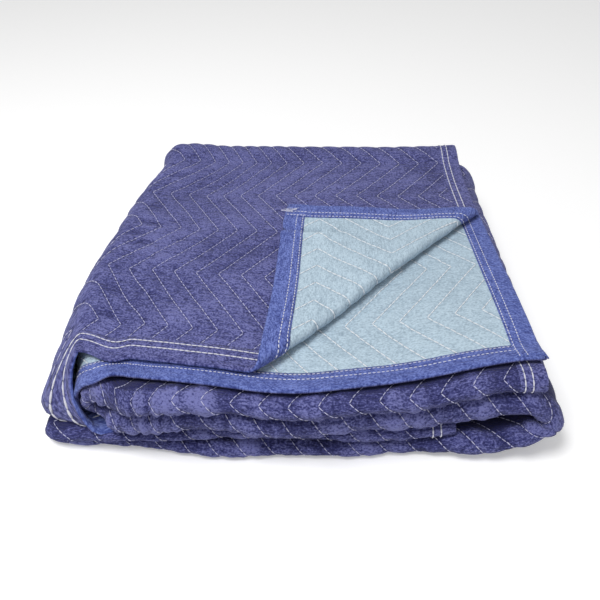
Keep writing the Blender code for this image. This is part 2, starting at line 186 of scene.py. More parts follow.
TIP_LIFT, TIP_X, TIP_LEVELS = 0.011, (0.180, 0.250), (0.030, 0.075)  # at the right end
SCALLOP = 0.0022  # the folds at the front wave up and down by this much
SCALLOP_TURNS = (44.0, 60.0, 1.0)  # along X, up Z, and the start
SCALLOP_LEVELS = (0.004, 0.030), (0.095, 0.115)

# The quilting: zigzag lines across the blanket
QUILT_PITCH = 0.027
QUILT_ROW = 0.080
QUILT_SHIFT = 0.066
QUILT_START = 0.030
QUILT_ROWS = (-20, 6)  # from the start, so that they reach past both edges
QUILT_SLOPE = QUILT_SHIFT / QUILT_ROW
QUILT_LATE = 0.058  # how much further across the zigzag turns on the inner ply
LATE_UNTIL, EVEN_FROM = 0.44, 0.74  # it evens out between these places across
PILLOW_POWER = 2.4  # how steeply the cloth rises beside a line

# The cloth's surface: size along u and v, and seed, of each noise
NAVY, AQUA = 1, -1  # the two sides of the cloth, and their signs along w
LENGTHWISE, FINE, BROAD = (0.040, 0.010, 3.1), (0.016, 0.006, 5.3), (0.085, 0.050, 7.7)
PLEATS, SMALL_PLEATS = (0.026, 0.070, 12.4), (0.008, 0.040, 17.9)
PANEL_SHARES = (0.95, 0.55, 0.9)  # of the first three
NOSE_SHARES = (0.4, 0.45)  # of the pleats and the fine creases
TIP_SHARES = (2.5, 1.5)  # of the pleats and the small pleats
GATHERED = 1.2  # how much stronger the small pleats are in the first turn
AQUA_CREASES = 0.8
TIP_REACH, UNSHADED_TIP_REACH = 0.016, 0.012  # of the pleats, and of the noses' fronts, which the painted shade between the noses leaves out, behind the tips
TUCK_LINES = (0.0014, 0.057, 0.006), (0.0030, 0.047, 0.0045)  # ridge and groove beside it
TUCK_RUN = (0.095, 0.050)  # from the edge
NOSE_GROOVES = 0.3  # how much deeper the grooves are on the noses
LEAST_HEIGHT = 0.0010  # of the cloth over the pad's middle, in the deepest crease
# Painted shade and highlight in the cloth's colour, following its grooves, creases, tuck and noses
PAINTED_SHADE_LEVELS = (0.5, 0.28, -0.35)  # painted shade and highlight in the colour: its middle, and its shares along the creases and the grooves
# painted light and shade along the tuck: lighter on its ridge, darker in its groove
PAINTED_SHADE_TUCK = 250
PAINTED_SHADE_INSIDE = 1.6  # painted shade: how much darker the cloth between the noses is
PAINTED_SHADE_HOLLOW = 0.30  # and the share of that painted shade in the hollow at the right end
HOLLOW_AT, HOLLOW_WIDTH = 0.035, 0.050

# The mesh
PLY_STEP = 0.020
FOLD_STEPS = {"inner_fold": 5, "nose": 10, "outer_fold": 9}
EDGE_STEPS = (0.007, 0.014, 0.021, 0.028, 0.035, 0.044)
SNAP = 0.00025  # a cut this near a point goes through it
LEAST_STEP = 0.002
FINE_STEP = 0.0062  # of the cloth that shows
TURN_CELLS, SHOWN_CELLS = 4, 8  # between two quilting lines, in the turns and where it shows
LEVEL = 0.01  # how near a face's middle lies to its side
LONG_EDGE, CUT_SLACK = 1.4, 0.2  # an edge is divided from this many steps, less this slack
TURN_MARGIN, CORNER_MARGIN, TAPE_MARGIN = 0.012, 0.040, 0.050
TAPE_STEP = 0.006
LIP_STEPS, TURN_STEPS = 5, 6
LIP_THIN = 0.35  # how thick a tape's upper lip is at its edge
PUCKER, PUCKER_RUN, PUCKER_FROM = 0.00035, 0.03, 1.2  # on the lower lip
PUCKER_GRAIN = (0.006, 0.02, 5.0)
TAPE_WORN = (0.5, 0.3)  # middle, and how far the worn patches go from it
TAPE_PATCHES, TAB_PATCHES = (0.009, 21.0), (0.005, 31.0)  # size and seed
TAPE_LIFT = 0.00005
OVERLAP = 0.004  # where an end tape passes over the long ones
NORMAL_STEP = 0.0002

# The stitches
HEM_ROWS = {NAVY: (0.0120, 0.0195), AQUA: (0.0145, 0.0218)}  # from the edge to the stitches
HEM_START, HEM_INSET = 0.003, 0.0005
# On the back: length against the face's, gap (added to the hem's own), width against the face's
PLAIN_HEM, BACK_QUILTING = (0.5, 0.0015, 0.7), (1.4, -0.0004, 1.6)
QUILT_LIFT, HEM_LIFT, CURL_LIFT = 0.0002, 0.0001, 0.0004  # over the cloth or the tape
LEAST_LINE = 0.004  # a shorter stretch of a line has no stitches
CURL_THREAD = 0.42  # against the hem's thread
# Each curl's place along and in from the edge, reach, slant and turns
CURLS = (
    (0.0135, 0.003, 0.0105, 0.12, 0.9),
    (0.0160, 0.001, 0.0080, -0.30, 0.8),
    (0.0110, 0.008, 0.0090, 0.35, 0.45),
)
LOOP_STEPS = 16  # in a full turn
LOOP_SHRINK, LOOP_NARROW = 0.2, 0.22
LOOP_WOBBLE, LOOP_HEIGHTS = (0.0006, 5), (0.0006, 0.0012)
LOOP_OVER, LOOP_STITCH = 0.25, 1.45  # how far a stitch of a loop runs past each end, and its length

# The tape's end at the front right: a strip that narrows and lifts towards its tip
TAB_START, TAB_STEP_U, TAB_STEP_V = -0.0075, 0.0012, 0.0015
TAB_COLUMNS, TAB_ROWS = 8, 12
TAB_FROM, TAB_LENGTH = 0.0009, 0.0084
TAB_MIDDLE, TAB_PLACE = 0.00825, 0.0115
TAB_NARROWS, TAB_POWER = 0.55, 2.2
TAB_HEIGHTS = (0.0019, 0.0010)
TAB_LIFT = 0.0050

# Noises of the cloth's look: scale, stretch, detail and roughness
GRAINS = {
    "blotch": (38.0, (1.0, 1.0, 1.0), 3.0, 0.6),
    "mottle": (230.0, (0.7, 1.3, 1.0), 4.0, 0.75),
    "speck": (520.0, (0.8, 1.2, 1.0), 2.0, 0.6),
    "crease": (62.0, (0.32, 1.5, 1.0), 3.0, 0.6),
    "crumple": (150.0, (0.5, 1.3, 1.0), 2.0, 0.6),
}
WARP, WEFT = 420.0, 380.0
STEEP = 5.0  # how narrow the ridges of the creases are
TONE = {"blotch": 0.04, "mottle": 0.34, "speck": 0.54, "crumple": 0.08}
CREASING = {"crease": 0.45, "crumple": 0.30}
RAISED = {"creases": 1.0, "mottle": 0.55, "speck": 0.12, "weave": 0.10}
MASK = (0.385, 0.588)  # the tones, painted shade and highlight included, that are wholly dark and wholly worn and lit
COLOUR, VALUE, VECTOR = "NodeSocketColor", "NodeSocketFloat", "NodeSocketVector"
GRAIN_INPUTS = (
    ("Vector", VECTOR, None),
    ("Dark", COLOUR, (0.05, 0.05, 0.2, 1)),
    ("Cloth", COLOUR, (0.1, 0.1, 0.3, 1)),
    ("Worn", COLOUR, (0.2, 0.2, 0.4, 1)),
    ("Relief", VALUE, 0.5),
    ("Relief share", VALUE, 0.5),
    ("Creases", VALUE, 1.0),
)
GRAIN_OUTPUTS = (("Colour", COLOUR), ("Height", VALUE))
TWIST_INPUTS = (
    ("Vector", VECTOR, None),
    ("Dark", COLOUR, (0.6, 0.6, 0.7, 1)),
    ("Thread", COLOUR, (0.8, 0.8, 0.9, 1)),
)
TWIST_SCALE, THREAD_SHADE = 900.0, 0.75
# Each cloth's colours, share of relief (painted shade and highlight on the pad, wear on the tapes),
# creases, depth of bump, roughness and sheen
CLOTHS = {
    "navy_cotton": ("navy", 0.16, 1.0, 0.0034, 0.85, 0.10),
    "aqua_backing": ("aqua", 0.16, 0.5, 0.0014, 0.95, 0.0),
    "binding_cotton": ("binding", 0.20, 1.0, 0.0022, 0.85, 0.10),
}

# The stage
FLOOR_SIZE, FLOOR_LEVEL = 6.0, -0.0005
FLOOR_GLOW = 0.24  # of the floor, to the camera only
WORLD_LIGHT, WORLD_GLOW = 0.46, 0.37  # light on everything, and what the camera sees besides
LIGHTS = (("key_light", (-0.5, -0.5, 1.7), 0.75), ("fill_light", (0.6, -1.5, 0.9), 1.4))
SENSOR_WIDTH = 36.0
EYE = (0.0045 - CENTRE[0], -0.5884 - CENTRE[1], 0.5293)
EYE_TURN = (math.radians(90 - 41.19), 0, math.radians(0.59))


def starts(stretches):
    """The flat coordinate at which each named stretch starts, and the whole length."""
    found, place = {}, 0.0
    for name, length in stretches:
        found[name] = place
        place += length
    return found, place


U_AT, LENGTH = starts(ALONG)
V_AT, WIDTH = starts(ACROSS)
SPAN = dict(ALONG + ACROSS)
FIRST_TURN, SECOND_PANEL = U_AT["turn_12"], U_AT["panel_2"]

# Where one form passes into another, along u and then across v
TOP_ENDS = (FIRST_TURN - 0.050, FIRST_TURN + 0.020)
TURN_STARTS = (FIRST_TURN - 0.045, FIRST_TURN + 0.010)
TURN_ENDS = (SECOND_PANEL - 0.010, SECOND_PANEL + 0.030)
SKEW_FADES = (FIRST_TURN - 0.060, SECOND_PANEL)
HEM_DROPS = (FIRST_TURN + 0.002, FIRST_TURN + 0.042)
HEM_EVENS = (FIRST_TURN - 0.060, FIRST_TURN + 0.020)
HEM_RISES = (FIRST_TURN - 0.240, FIRST_TURN - 0.020)
HEM_FALLS, HEM_FALL_WIDTH = SECOND_PANEL - 0.006, 0.036
SHIFT_STARTS = (FIRST_TURN - 0.110, FIRST_TURN)
SHIFT_ENDS = (SECOND_PANEL, SECOND_PANEL + 0.110)
ASIDE_FADES = (SECOND_PANEL, SECOND_PANEL + 0.150)
GATHERS = (FIRST_TURN - 0.20, FIRST_TURN - 0.05)
GATHERS_FADE = (SECOND_PANEL + 0.05, SECOND_PANEL + 0.20)
SKEW_STARTS = (V_AT["nose_top"] + 0.030, V_AT["nose"] - 0.110)
SKEW_ENDS = (V_AT["nose_bottom"] + 0.010, V_AT["outer_fold"] - 0.060)
OUTER_PLY = (V_AT["outer_fold"], V_AT["ply_a"])
PLY_A_STARTS = (V_AT["ply_a"] - 0.03, V_AT["ply_a"] + 0.03)

# What shows of the cloth: its side, from u, to u, from v, to v
NOSE_SHOWS = (V_AT["nose"] - 0.050, V_AT["nose_bottom"] + 0.046)
BACK_SHOWS = (V_AT["outer_fold"] - 0.014, V_AT["ply_a"] + 0.014)
INSIDE = (NOSE_SHOWS[1], BACK_SHOWS[0])
SHOWN = (
    (NAVY, 0.0, SECOND_PANEL + 0.060, BACK_SHOWS[1], WIDTH),
    (NAVY, 0.0, SECOND_PANEL, NOSE_SHOWS[0] - NOSE_SKEW, NOSE_SHOWS[0]),
    (NAVY, 0.0, LENGTH, *NOSE_SHOWS),
    (NAVY, 0.0, LENGTH, *BACK_SHOWS),
    (NAVY, U_AT["turn_23"] - 0.030, U_AT["panel_3"] + 0.060, *INSIDE),
    (NAVY, U_AT["turn_34"] - 0.010, U_AT["panel_4"] + 0.006, *INSIDE),
    (AQUA, 0.0, 0.330, 0.0, 0.330),
    (AQUA, 0.330, SECOND_PANEL, 0.0, 0.060),
    (AQUA, 0.0, CORNER_U + 0.030, WIDTH - CORNER_V - 0.030, WIDTH),
)


def ease(value, low, high):
    """0 below low, 1 above high, and smooth between."""
    share = np.clip((value - low) / (high - low), 0, 1)
    return share * share * (3 - 2 * share)


def window(value, rise, fall):
    """0 before the first stretch, 1 between it and the second, and 0 after that."""
    return ease(value, *rise) * (1 - ease(value, *fall))


def mix(a, b, share):
    return a + (b - a) * share


def bump(value, middle, width):
    """1 at the middle, falling smoothly to nothing about two widths away."""
    return np.exp(-(((value - middle) / width) ** 2))


def ripple(value, height, turns, start):
    return height * np.sin(value * turns + start)


# ---------------------------------------------------------------- the folded surface


def at_top(u):
    """1 on panel 1, falling to 0 in the turn after it."""
    return 1 - ease(u, *TOP_ENDS)


def in_first_turn(u):
    """1 in the first turn, and 0 a little way into the panels on either side."""
    return window(u, TURN_STARTS, TURN_ENDS)


def on_nose(u, v):
    """The place across at which the cloth would lie if every nose were folded on the same line."""
    return v + NOSE_SKEW * (1 - ease(u, *SKEW_FADES)) * window(v, SKEW_STARTS, SKEW_ENDS)


def nose_tip(u):
    """Y of the front of the nose."""
    deep = ease(u, FIRST_TURN, SECOND_PANEL)
    last = ease(u, U_AT["turn_34"], U_AT["panel_4"])
    wave = ripple(u, *NOSE_WAVES[0]) + ripple(u, *NOSE_WAVES[1])
    deeper = NOSE_DEEPER[0] * deep + NOSE_DEEPER[1] * last
    return NOSE_FRONT + deeper + wave + TUCK * in_first_turn(u)


def nose_level(u):
    """Height of the nose's upper ply at the front, in the strip."""
    full, on_top, in_turn = NOSE_HEIGHTS
    height = mix(mix(full, in_turn, in_first_turn(u)), on_top, at_top(u))
    return PAD_THICKNESS / 2 + height * PITCH + ripple(u, *LEVEL_WAVE)


def puff(y):
    """How much thicker the strip is, near its back folds."""
    return BACK_PUFF * ease(y, PACK_DEPTH / 2 - BACK_LEAD, PACK_DEPTH / 2 - PUFF_END)


def across(u, v):
    """Y, and the height in the strip, of the middle of the cloth."""
    tip = nose_tip(u)
    turning = in_first_turn(u)
    low = PAD_THICKNESS / 2
    back = PACK_DEPTH / 2 - BACK_INSET
    front = tip + NOSE_REACH
    edge_b = tip + mix(EDGE_B_DEEP, EDGE_B_TOP, at_top(u)) + ripple(u, *EDGE_B_WAVE)
    edge_a = tip + mix(EDGE_A_DEEP, EDGE_A_TOP, at_top(u)) + ripple(u, *EDGE_A_WAVE)
    down = ease(u, *HEM_DROPS)
    edge_a = edge_a - (TUCK + HEM_FORWARD) * turning * down
    edge_a = edge_a - HEM_EVEN * ease(u, *HEM_EVENS) * (1 - down)
    rise = HEM_RISE * ease(u, *HEM_RISES)
    edge_a = edge_a + rise * (1 - down)
    edge_b = edge_b + INNER_RISE * rise * (1 - turning) * (u < FIRST_TURN)
    edge_a = edge_a - HEM_DOWN_FORWARD * bump(u, HEM_FALLS, HEM_FALL_WIDTH)
    edge_b = edge_b - EDGE_B_FORWARD * turning

    def upper(y):
        opened = 1 - ease(y - tip, NOSE_REACH, NOSE_LEAD)
        return mix(low + PITCH, nose_level(u), opened)

    def level_b(y):
        return upper(y) + PITCH + LOOSENESS + puff(y)

    def level_a(y):
        return upper(y) + 2 * PITCH + LOOSENESS + puff(y)

    def fold(share, y, reach, high, bottom):
        """A half turn from the level high down to the level bottom."""
        angle = math.pi * share
        return y + reach * np.sin(angle), (high + bottom) / 2 + (high - bottom) / 2 * np.cos(angle)

    def share(name):
        return (v - V_AT[name]) / SPAN[name]

    y_b = mix(edge_b, back, share("ply_b"))
    y_up = mix(back, front, share("nose_top"))
    y_low = mix(front, back, share("nose_bottom"))
    y_a = mix(back, edge_a, share("ply_a"))
    at_back, floor = np.full_like(v, back), np.full_like(v, low)
    pieces = (
        (y_b, level_b(y_b)),
        fold(share("inner_fold"), at_back, INNER_REACH, level_b(at_back), upper(at_back)),
        (y_up, upper(y_up)),
        fold(share("nose"), front, -NOSE_REACH, upper(front), floor),
        (y_low, floor),
        fold(1 - share("outer_fold"), at_back, OUTER_REACH, level_a(at_back), floor),
        (y_a, level_a(y_a)),
    )
    return chosen(v, V_AT, pieces)


def chosen(place, starts_at, pieces):
    """Of each piece's two coordinates, those of the stretch that each place lies in."""
    which = np.searchsorted(list(starts_at.values())[1:], place, side="right")
    return tuple(np.choose(which, [piece[k] for piece in pieces]) for k in (0, 1))


def along(u, v, y, s):
    """X and Z, from the place along the strip and the height s in it."""
    thick = PLIES * PITCH + puff(y)

    def share(name):
        return (u - U_AT[name]) / SPAN[name]

    def opened(x, turn):
        return mix(TURN_GAP, PANEL_GAP, ease(x, turn, turn + TURN_LEAD))

    def top_of_2(x):
        return 3 * thick + opened(x, TURN_34) + PANEL_GAP

    x_1 = mix(END_1 + ripple(v, *END_1_WAVE), TURN_12, share("panel_1"))
    x_2 = mix(TURN_12, TURN_23, share("panel_2"))
    x_3 = mix(TURN_23, TURN_34, share("panel_3"))
    x_4 = mix(TURN_34, END_4 + ripple(v, *END_4_WAVE), share("panel_4"))
    angle_12, angle_23, angle_34 = (
        math.pi * share(name) for name in ("turn_12", "turn_23", "turn_34")
    )
    at_12, at_23 = top_of_2(np.full_like(u, TURN_12)), top_of_2(np.full_like(u, TURN_23))

    front = 1 - ease(y, *FRONT_PLIES)
    outer = front * ease(v, *OUTER_PLY)
    shift = INNER_SHIFT * window(u, SHIFT_STARTS, SHIFT_ENDS) * front * (1 - ease(v, *OUTER_PLY))
    off = np.sin(np.clip(angle_12, 0, math.pi)) * front * ease(v, *OUTER_PLY)
    radius_12 = TURN_GAP / 2 + s + LOOSE_TURN * off
    turned = np.clip(share("turn_12"), 0, 1)
    lowered = mix(turned, turned**BAG_LOW, outer)
    bulge = (radius_12 + BAG_OUT * outer * turned) * np.sin(math.pi * lowered)
    hem = front * ease(v, WIDTH - HEM_RUN, WIDTH - HEM_FLAT)
    tight = HEM_TIGHT * hem * ease(turned, *TIGHT_BETWEEN)
    aside = HEM_ASIDE * hem * turned**ASIDE_POWER * (1 - ease(u, *ASIDE_FADES))
    radius_23 = at_23 / 2 - s
    middle_34 = (2 * thick + TURN_GAP) / 2
    radius_34 = middle_34 - s
    pieces = (
        (x_1, top_of_2(x_1) + opened(x_1, TURN_12) + s),
        (TURN_12 - bulge * (1 - tight), at_12 + TURN_GAP / 2 + radius_12 * np.cos(angle_12)),
        (x_2, top_of_2(x_2) - s),
        (TURN_23 + radius_23 * np.sin(angle_23), at_23 / 2 + radius_23 * np.cos(angle_23)),
        (x_3, s),
        (TURN_34 - radius_34 * np.sin(angle_34), middle_34 - radius_34 * np.cos(angle_34)),
        (x_4, 2 * thick + opened(x_4, TURN_34) - s),
    )
    x, z = chosen(u, U_AT, pieces)
    return x + shift + aside, z


def turn_corner(u, v):
    """The flat place under each point once the corner is turned back, and how far it is lifted."""
    normal_u, normal_v = CORNER_NORMAL
    past = ((WIDTH - v) * -CORNER_U - (u - CORNER_U) * CORNER_V) / CORNER_SIZE
    past = np.where((u < FIRST_TURN) & (v > V_AT["ply_a"]), past, -1.0)
    angle = np.clip(past / CORNER_RADIUS, 0, math.pi)
    beyond = np.clip(past - CORNER_BEND, 0, None)
    moved = CORNER_RADIUS * np.sin(angle) - beyond - np.clip(past, 0, None)
    drop = (2 * CORNER_RADIUS - PITCH) * ease(beyond, 0, CORNER_SETTLE)
    lift = CORNER_RADIUS * (1 - np.cos(angle)) - drop
    return u + moved * normal_u, v + moved * normal_v, lift


def settle(x, y, z):
    """The pack's own unevenness: the sides lean and the top waves, all plies together."""
    high = np.clip((z - PITCH) / (STACK - PITCH), 0, None)
    left, right = 1 - ease(x, *LEFT_SIDE), ease(x, *RIGHT_SIDE)
    front = 1 - ease(y, *FRONT_SIDE)
    squeeze = TOP_SQUEEZE * high + sum(step * ease(y, *stretch) for step, *stretch in SQUEEZES)
    wave = ripple(x, *TOP_WAVES[0]) * ripple(y, *TOP_WAVES[1])
    valley = -VALLEY * bump(y - VALLEY_SLANT * x, VALLEY_Y, VALLEY_WIDTH)
    worn = ease(-x, *EDGE_DROOPS) + SIDE_DROOP * ease(np.abs(y), *EDGE_DROOPS)
    droop = -FRONT_DROOP * front * (1 - right)
    curl = CURL_RIGHT * ease(x, PACK_WIDTH / 2 - CURL_LEAD, PACK_WIDTH / 2)
    bow = BOW_MIDDLE - (BOW_MIDDLE + BOW_RIGHT) * right - BOW_MIDDLE * left**3
    return (
        x + left * squeeze - CENTRE[0],
        y - bow * front * high - CENTRE[1],
        z + high * (wave + valley - EDGE_DROOP * worn + droop) + curl * (1 - CURL_ON_TOP * high),
    )


def slump(x, y, z):
    """How the cloth sinks at the front of the pack, where little holds it up."""
    front = 1 - ease(y, *SLUMP_Y)
    right, left = ease(x, *RIGHT_END), ease(-x, *LEFT_END)

    def at_height(amounts):
        return np.interp(z, SLUMP_LEVELS, amounts)

    drop = (
        (1 - right - left) * at_height(SLUMP_MIDDLE) * front
        + right * at_height(SLUMP_RIGHT) * mix(SLUMP_BEHIND, 1.0, front)
        + left * at_height(SLUMP_LEFT) * front
    )
    along_x, up_z, start = SCALLOP_TURNS
    held = window(z, *SCALLOP_LEVELS)
    scallop = SCALLOP * held * front * np.sin(along_x * x + up_z * z + start)
    push = left * front * at_height(PUSH_LEFT) + PUSH_RIGHT * right * front
    back = LEFT_BACK * left * front * (1 - ease(z, *LEFT_BACK_LEVELS))
    lift = BACK_LIFT * ease(y, *BACK_LIFT_Y) * ease(z, *BACK_LIFT_LEVELS)
    tip = TIP_LIFT * ease(x, *TIP_X) * front * (1 - ease(z, *TIP_LEVELS))
    pull = FLAP_PULL * bump(x, FLAP_PULL_AT, FLAP_PULL_WIDTH)
    pull = pull * (1 - PULL_LOST * ease(y, *PULL_FADES))
    push = push - pull * ease(z, *PULL_HEIGHTS) * (1 - ease(y, *PULL_ENDS))
    return x + push, y + back, z - drop + scallop + lift + tip


def middle(u, v):
    """The middle surface of the folded blanket."""
    under_u, under_v, lift = turn_corner(u, v)
    folded_v = on_nose(under_u, under_v)
    y, s = across(under_u, folded_v)
    x, z = along(under_u, folded_v, y, s + lift)
    return np.stack(slump(*settle(x, y, z)), axis=-1)


def laid(u, v, w):
    """Where a point of the flat blanket lies, w above its middle."""
    du = middle(u + NORMAL_STEP, v) - middle(u - NORMAL_STEP, v)
    dv = middle(u, v + NORMAL_STEP) - middle(u, v - NORMAL_STEP)
    normal = np.cross(du, dv)
    normal /= np.linalg.norm(normal, axis=-1, keepdims=True)
    return middle(u, v) + normal * np.asarray(w)[..., None]


# ---------------------------------------------------------------- the flat cloth


def half_pad(u, v):
    """Half the pad's thickness."""
    inward = np.minimum(np.minimum(u, LENGTH - u), np.minimum(v, WIDTH - v))
    return mix(EDGE_THICKNESS, PAD_THICKNESS, ease(inward, TAPE_WIDTH, EDGE_TAPER)) / 2


def over_long_tapes(v):
    """1 where an end tape passes over the long ones, and 0 between them."""
    return 1 - ease(np.minimum(v, WIDTH - v), TAPE_WIDTH, TAPE_WIDTH + OVERLAP)


def late(v):
    """How much further across the zigzag turns than its even rows would."""
    return QUILT_LATE * (1 - ease(v, LATE_UNTIL, EVEN_FROM))


def zigzag_corners():
    """Where the zigzag turns, across the cloth and a little beyond it."""
    first = V_AT["ply_a"] + QUILT_START
    even = [first + k * QUILT_ROW for k in range(*QUILT_ROWS)]
    return [float(place + late(place)) for place in even]


def zigzag(v):
    """How far the quilting lines lie along u, at each place across."""
    row = (v - late(v) - V_AT["ply_a"] - QUILT_START) / QUILT_ROW
    return QUILT_SHIFT * (1 - np.abs(row % 2 - 1))


def pillow(u, v):
    """0 on a quilting line, 1 halfway to the next."""
    place = (u - zigzag(v)) / QUILT_PITCH
    away = 2 * np.abs(place - np.round(place))
    return 1 - (1 - away) ** PILLOW_POWER


def noise_field(u, v, scale_u, scale_v, seed):
    """Smooth noise from -1 to 1 over the flat cloth, with its own grain each way."""
    places = zip(np.ravel(u) / scale_u, np.ravel(v) / scale_v)
    return np.reshape([noise.noise((a, b, seed)) for a, b in places], np.shape(u))


def near_nose(u, v):
    """1 on the noses, falling to 0 a little way inside the pack."""
    rise, fall = (NOSE_SHOWS[0], V_AT["nose"]), (V_AT["nose_bottom"], NOSE_SHOWS[1])
    return window(on_nose(u, v), rise, fall)


def on_tip(u, v, reach):
    """1 on the rounded front of the noses, falling to 0 over the reach."""
    start, end = V_AT["nose"], V_AT["nose_bottom"]
    return window(on_nose(u, v), (start - reach, start), (end, end + reach))


def wrinkles(u, v, side, height):
    """Creases in the cloth that shows: along the panels on top, and across them round the noses."""
    panel = ease(v, *PLY_A_STARTS) if side == NAVY else AQUA_CREASES
    lengthwise, fine, broad = (
        noise_field(u, v, scale_u, scale_v, seed * side)
        for scale_u, scale_v, seed in (LENGTHWISE, FINE, BROAD)
    )
    pleats, small_pleats = noise_field(u, v, *PLEATS), noise_field(u, v, *SMALL_PLEATS)
    gathered = 1 + GATHERED * window(u, GATHERS, GATHERS_FADE)

    def summed(shares, *fields):
        return sum(share * field for share, field in zip(shares, fields))

    return height * (
        panel * summed(PANEL_SHARES, lengthwise, fine, broad)
        + near_nose(u, v) * summed(NOSE_SHARES, pleats, fine)
        + on_tip(u, v, TIP_REACH) * summed(TIP_SHARES, pleats, gathered * small_pleats)
    )


def flap_tuck(u, v):
    """A small tuck that runs in from the turned corner's edge."""
    ridge, groove = (height * bump(u, place, width) for height, place, width in TUCK_LINES)
    return ease(v, WIDTH - TUCK_RUN[0], WIDTH - TUCK_RUN[1]) * (ridge - groove)


def cloth_height(u, v, side):
    """Distance of the cloth's outside from the pad's middle, grooves and creases included."""
    style = bpy.context.scene.blanket_cloth
    half, nose = half_pad(u, v), near_nose(u, v)
    full = (2 * half - EDGE_THICKNESS) / (PAD_THICKNESS - EDGE_THICKNESS)
    groove = style.groove_depth * (1 - pillow(u, v)) * (1 + NOSE_GROOVES * nose)
    height = half - full * groove + full * wrinkles(u, v, side, style.wrinkle_height)
    least = np.minimum(half, LEAST_HEIGHT)
    if side == AQUA:
        return mix(height + flap_tuck(u, v), least, nose)
    return np.maximum(height, least)


def relief(u, v, side):
    """Painted shade and highlight: 0 in the cloth's deepest grooves and creases, 1 on its highest
    ridges, and less inside.
    """
    even, creased, grooved = PAINTED_SHADE_LEVELS
    shaded_tone = even + creased * wrinkles(u, v, side, 1.0) + grooved * (1 - pillow(u, v)) ** 2
    if side == AQUA:
        # painted light and shade along the tuck: lighter on its ridge, darker in its groove
        return np.clip(shaded_tone + PAINTED_SHADE_TUCK * flap_tuck(u, v), 0, 1)
    nose = near_nose(u, v)
    # painted shade between the noses, their fronts left out, and more of it in the hollow at the
    # right end
    hollow = bump(u, U_AT["panel_3"] + HOLLOW_AT, HOLLOW_WIDTH)
    inside = nose * (1 - on_tip(u, v, UNSHADED_TIP_REACH)) + PAINTED_SHADE_HOLLOW * nose * hollow
    return np.clip(shaded_tone, 0, 1) - PAINTED_SHADE_INSIDE * inside


def parts_of(faces, kind):
    """The edges or verts of the faces, each once and always in the same order."""
    return list(dict.fromkeys(part for face in faces for part in getattr(face, kind)))


def sliced(bm, faces, point, normal, **settings):
    """Cuts the faces with a plane and returns the faces that they became."""
    geometry = [*faces, *parts_of(faces, "edges"), *parts_of(faces, "verts")]
    made = bmesh.ops.bisect_plane(
        bm, geom=geometry, dist=SNAP, plane_co=point, plane_no=normal, **settings
    )
    return [item for item in made["geom"] if isinstance(item, bmesh.types.BMFace)]


def steps_between(low, high, step):
    count = max(1, round((high - low) / step))
    return [low + (high - low) * k / count for k in range(count)]


def thinned(places):
    """The places in order, without those that almost fall on the one before."""
    kept = []
    for place in sorted(places):
        if not kept or place - kept[-1] > LEAST_STEP:
            kept.append(place)
    return kept


def rows_across():
    """Where the flat cloth is cut across: at its folds, its tapes and the zigzag's corners."""
    firm = {0.0, WIDTH, *(place for place in zigzag_corners() if 0 < place < WIDTH)}
    loose = {TAPE_WIDTH, WIDTH - TAPE_WIDTH}
    for name, length in ACROSS:
        step = length / FOLD_STEPS[name] if name in FOLD_STEPS else PLY_STEP
        loose |= set(steps_between(V_AT[name], V_AT[name] + length, step))
    for rise in EDGE_STEPS:
        loose |= {V_AT["nose"] - rise, rise, WIDTH - rise}
    loose = {place for place in loose if min(abs(place - other) for other in firm) > LEAST_STEP}
    return thinned(firm | loose)


def closed_slab(bm):
    """Turns a flat sheet at Z = -1 into a closed slab that reaches Z = 1."""
    bmesh.ops.reverse_faces(bm, faces=[face for face in bm.faces if face.normal.z > 0])
    made = bmesh.ops.extrude_face_region(bm, geom=bm.faces[:], use_keep_orig=True)
    for item in made["geom"]:
        if isinstance(item, bmesh.types.BMVert):
            item.co.z = 1.0
    bmesh.ops.recalc_face_normals(bm, faces=bm.faces[:])
    return bm


def flat_slab(u_places, v_places):
    """A closed slab from Z = -1 to Z = 1, its faces cut at the given places."""
    bm = bmesh.new()
    columns, rows = len(u_places) - 1, len(v_places) - 1
    bmesh.ops.create_grid(bm, x_segments=columns, y_segments=rows, size=0.5)
    for vert in bm.verts:
        vert.co.x = u_places[round((vert.co.x + 0.5) * columns)]
        vert.co.y = v_places[round((vert.co.y + 0.5) * rows)]
        vert.co.z = -1.0
    return closed_slab(bm)


def quilted_slab():
    """The flat cloth as a closed slab whose faces lie between the zigzag quilting lines."""
    bm = bmesh.new()
    v_places = rows_across()
    first = -math.ceil(QUILT_SHIFT / QUILT_PITCH) - 1
    last = math.ceil(LENGTH / QUILT_PITCH) + 1
    columns, rows = last - first, len(v_places) - 1
    bmesh.ops.create_grid(bm, x_segments=columns, y_segments=rows, size=0.5)
    for vert in bm.verts:
        v = v_places[round((vert.co.y + 0.5) * rows)]
        line = first + round((vert.co.x + 0.5) * columns)
        vert.co = (line * QUILT_PITCH + float(zigzag(v)), v, -1.0)
    trim = {"clear_outer": True, "use_snap_center": True}
    for place, outward in ((0.0, -1), (LENGTH, 1)):
        sliced(bm, bm.faces[:], (place, 0, 0), (outward, 0, 0), **trim)
    for place in (TAPE_WIDTH, EDGE_TAPER, LENGTH - EDGE_TAPER, LENGTH - TAPE_WIDTH):
        sliced(bm, bm.faces[:], (place, 0, 0), (1, 0, 0))
    return closed_slab(bm)


def faces_in(bm, side, low_u, high_u, low_v, high_v):
    """The faces of one side whose middles lie in a stretch of the flat cloth."""
    found = []
    for face in bm.faces:
        centre = face.calc_center_median()
        if abs(centre.z - side) < LEVEL and low_u < centre.x < high_u:
            if low_v < centre.y < high_v:
                found.append(face)
    return found


def quilt_rows(low, high):
    """The stretches of v between corners of the zigzag."""
    between = [place for place in zigzag_corners() if low + SNAP < place < high - SNAP]
    places = [low, *between, high]
    return list(zip(places[:-1], places[1:]))


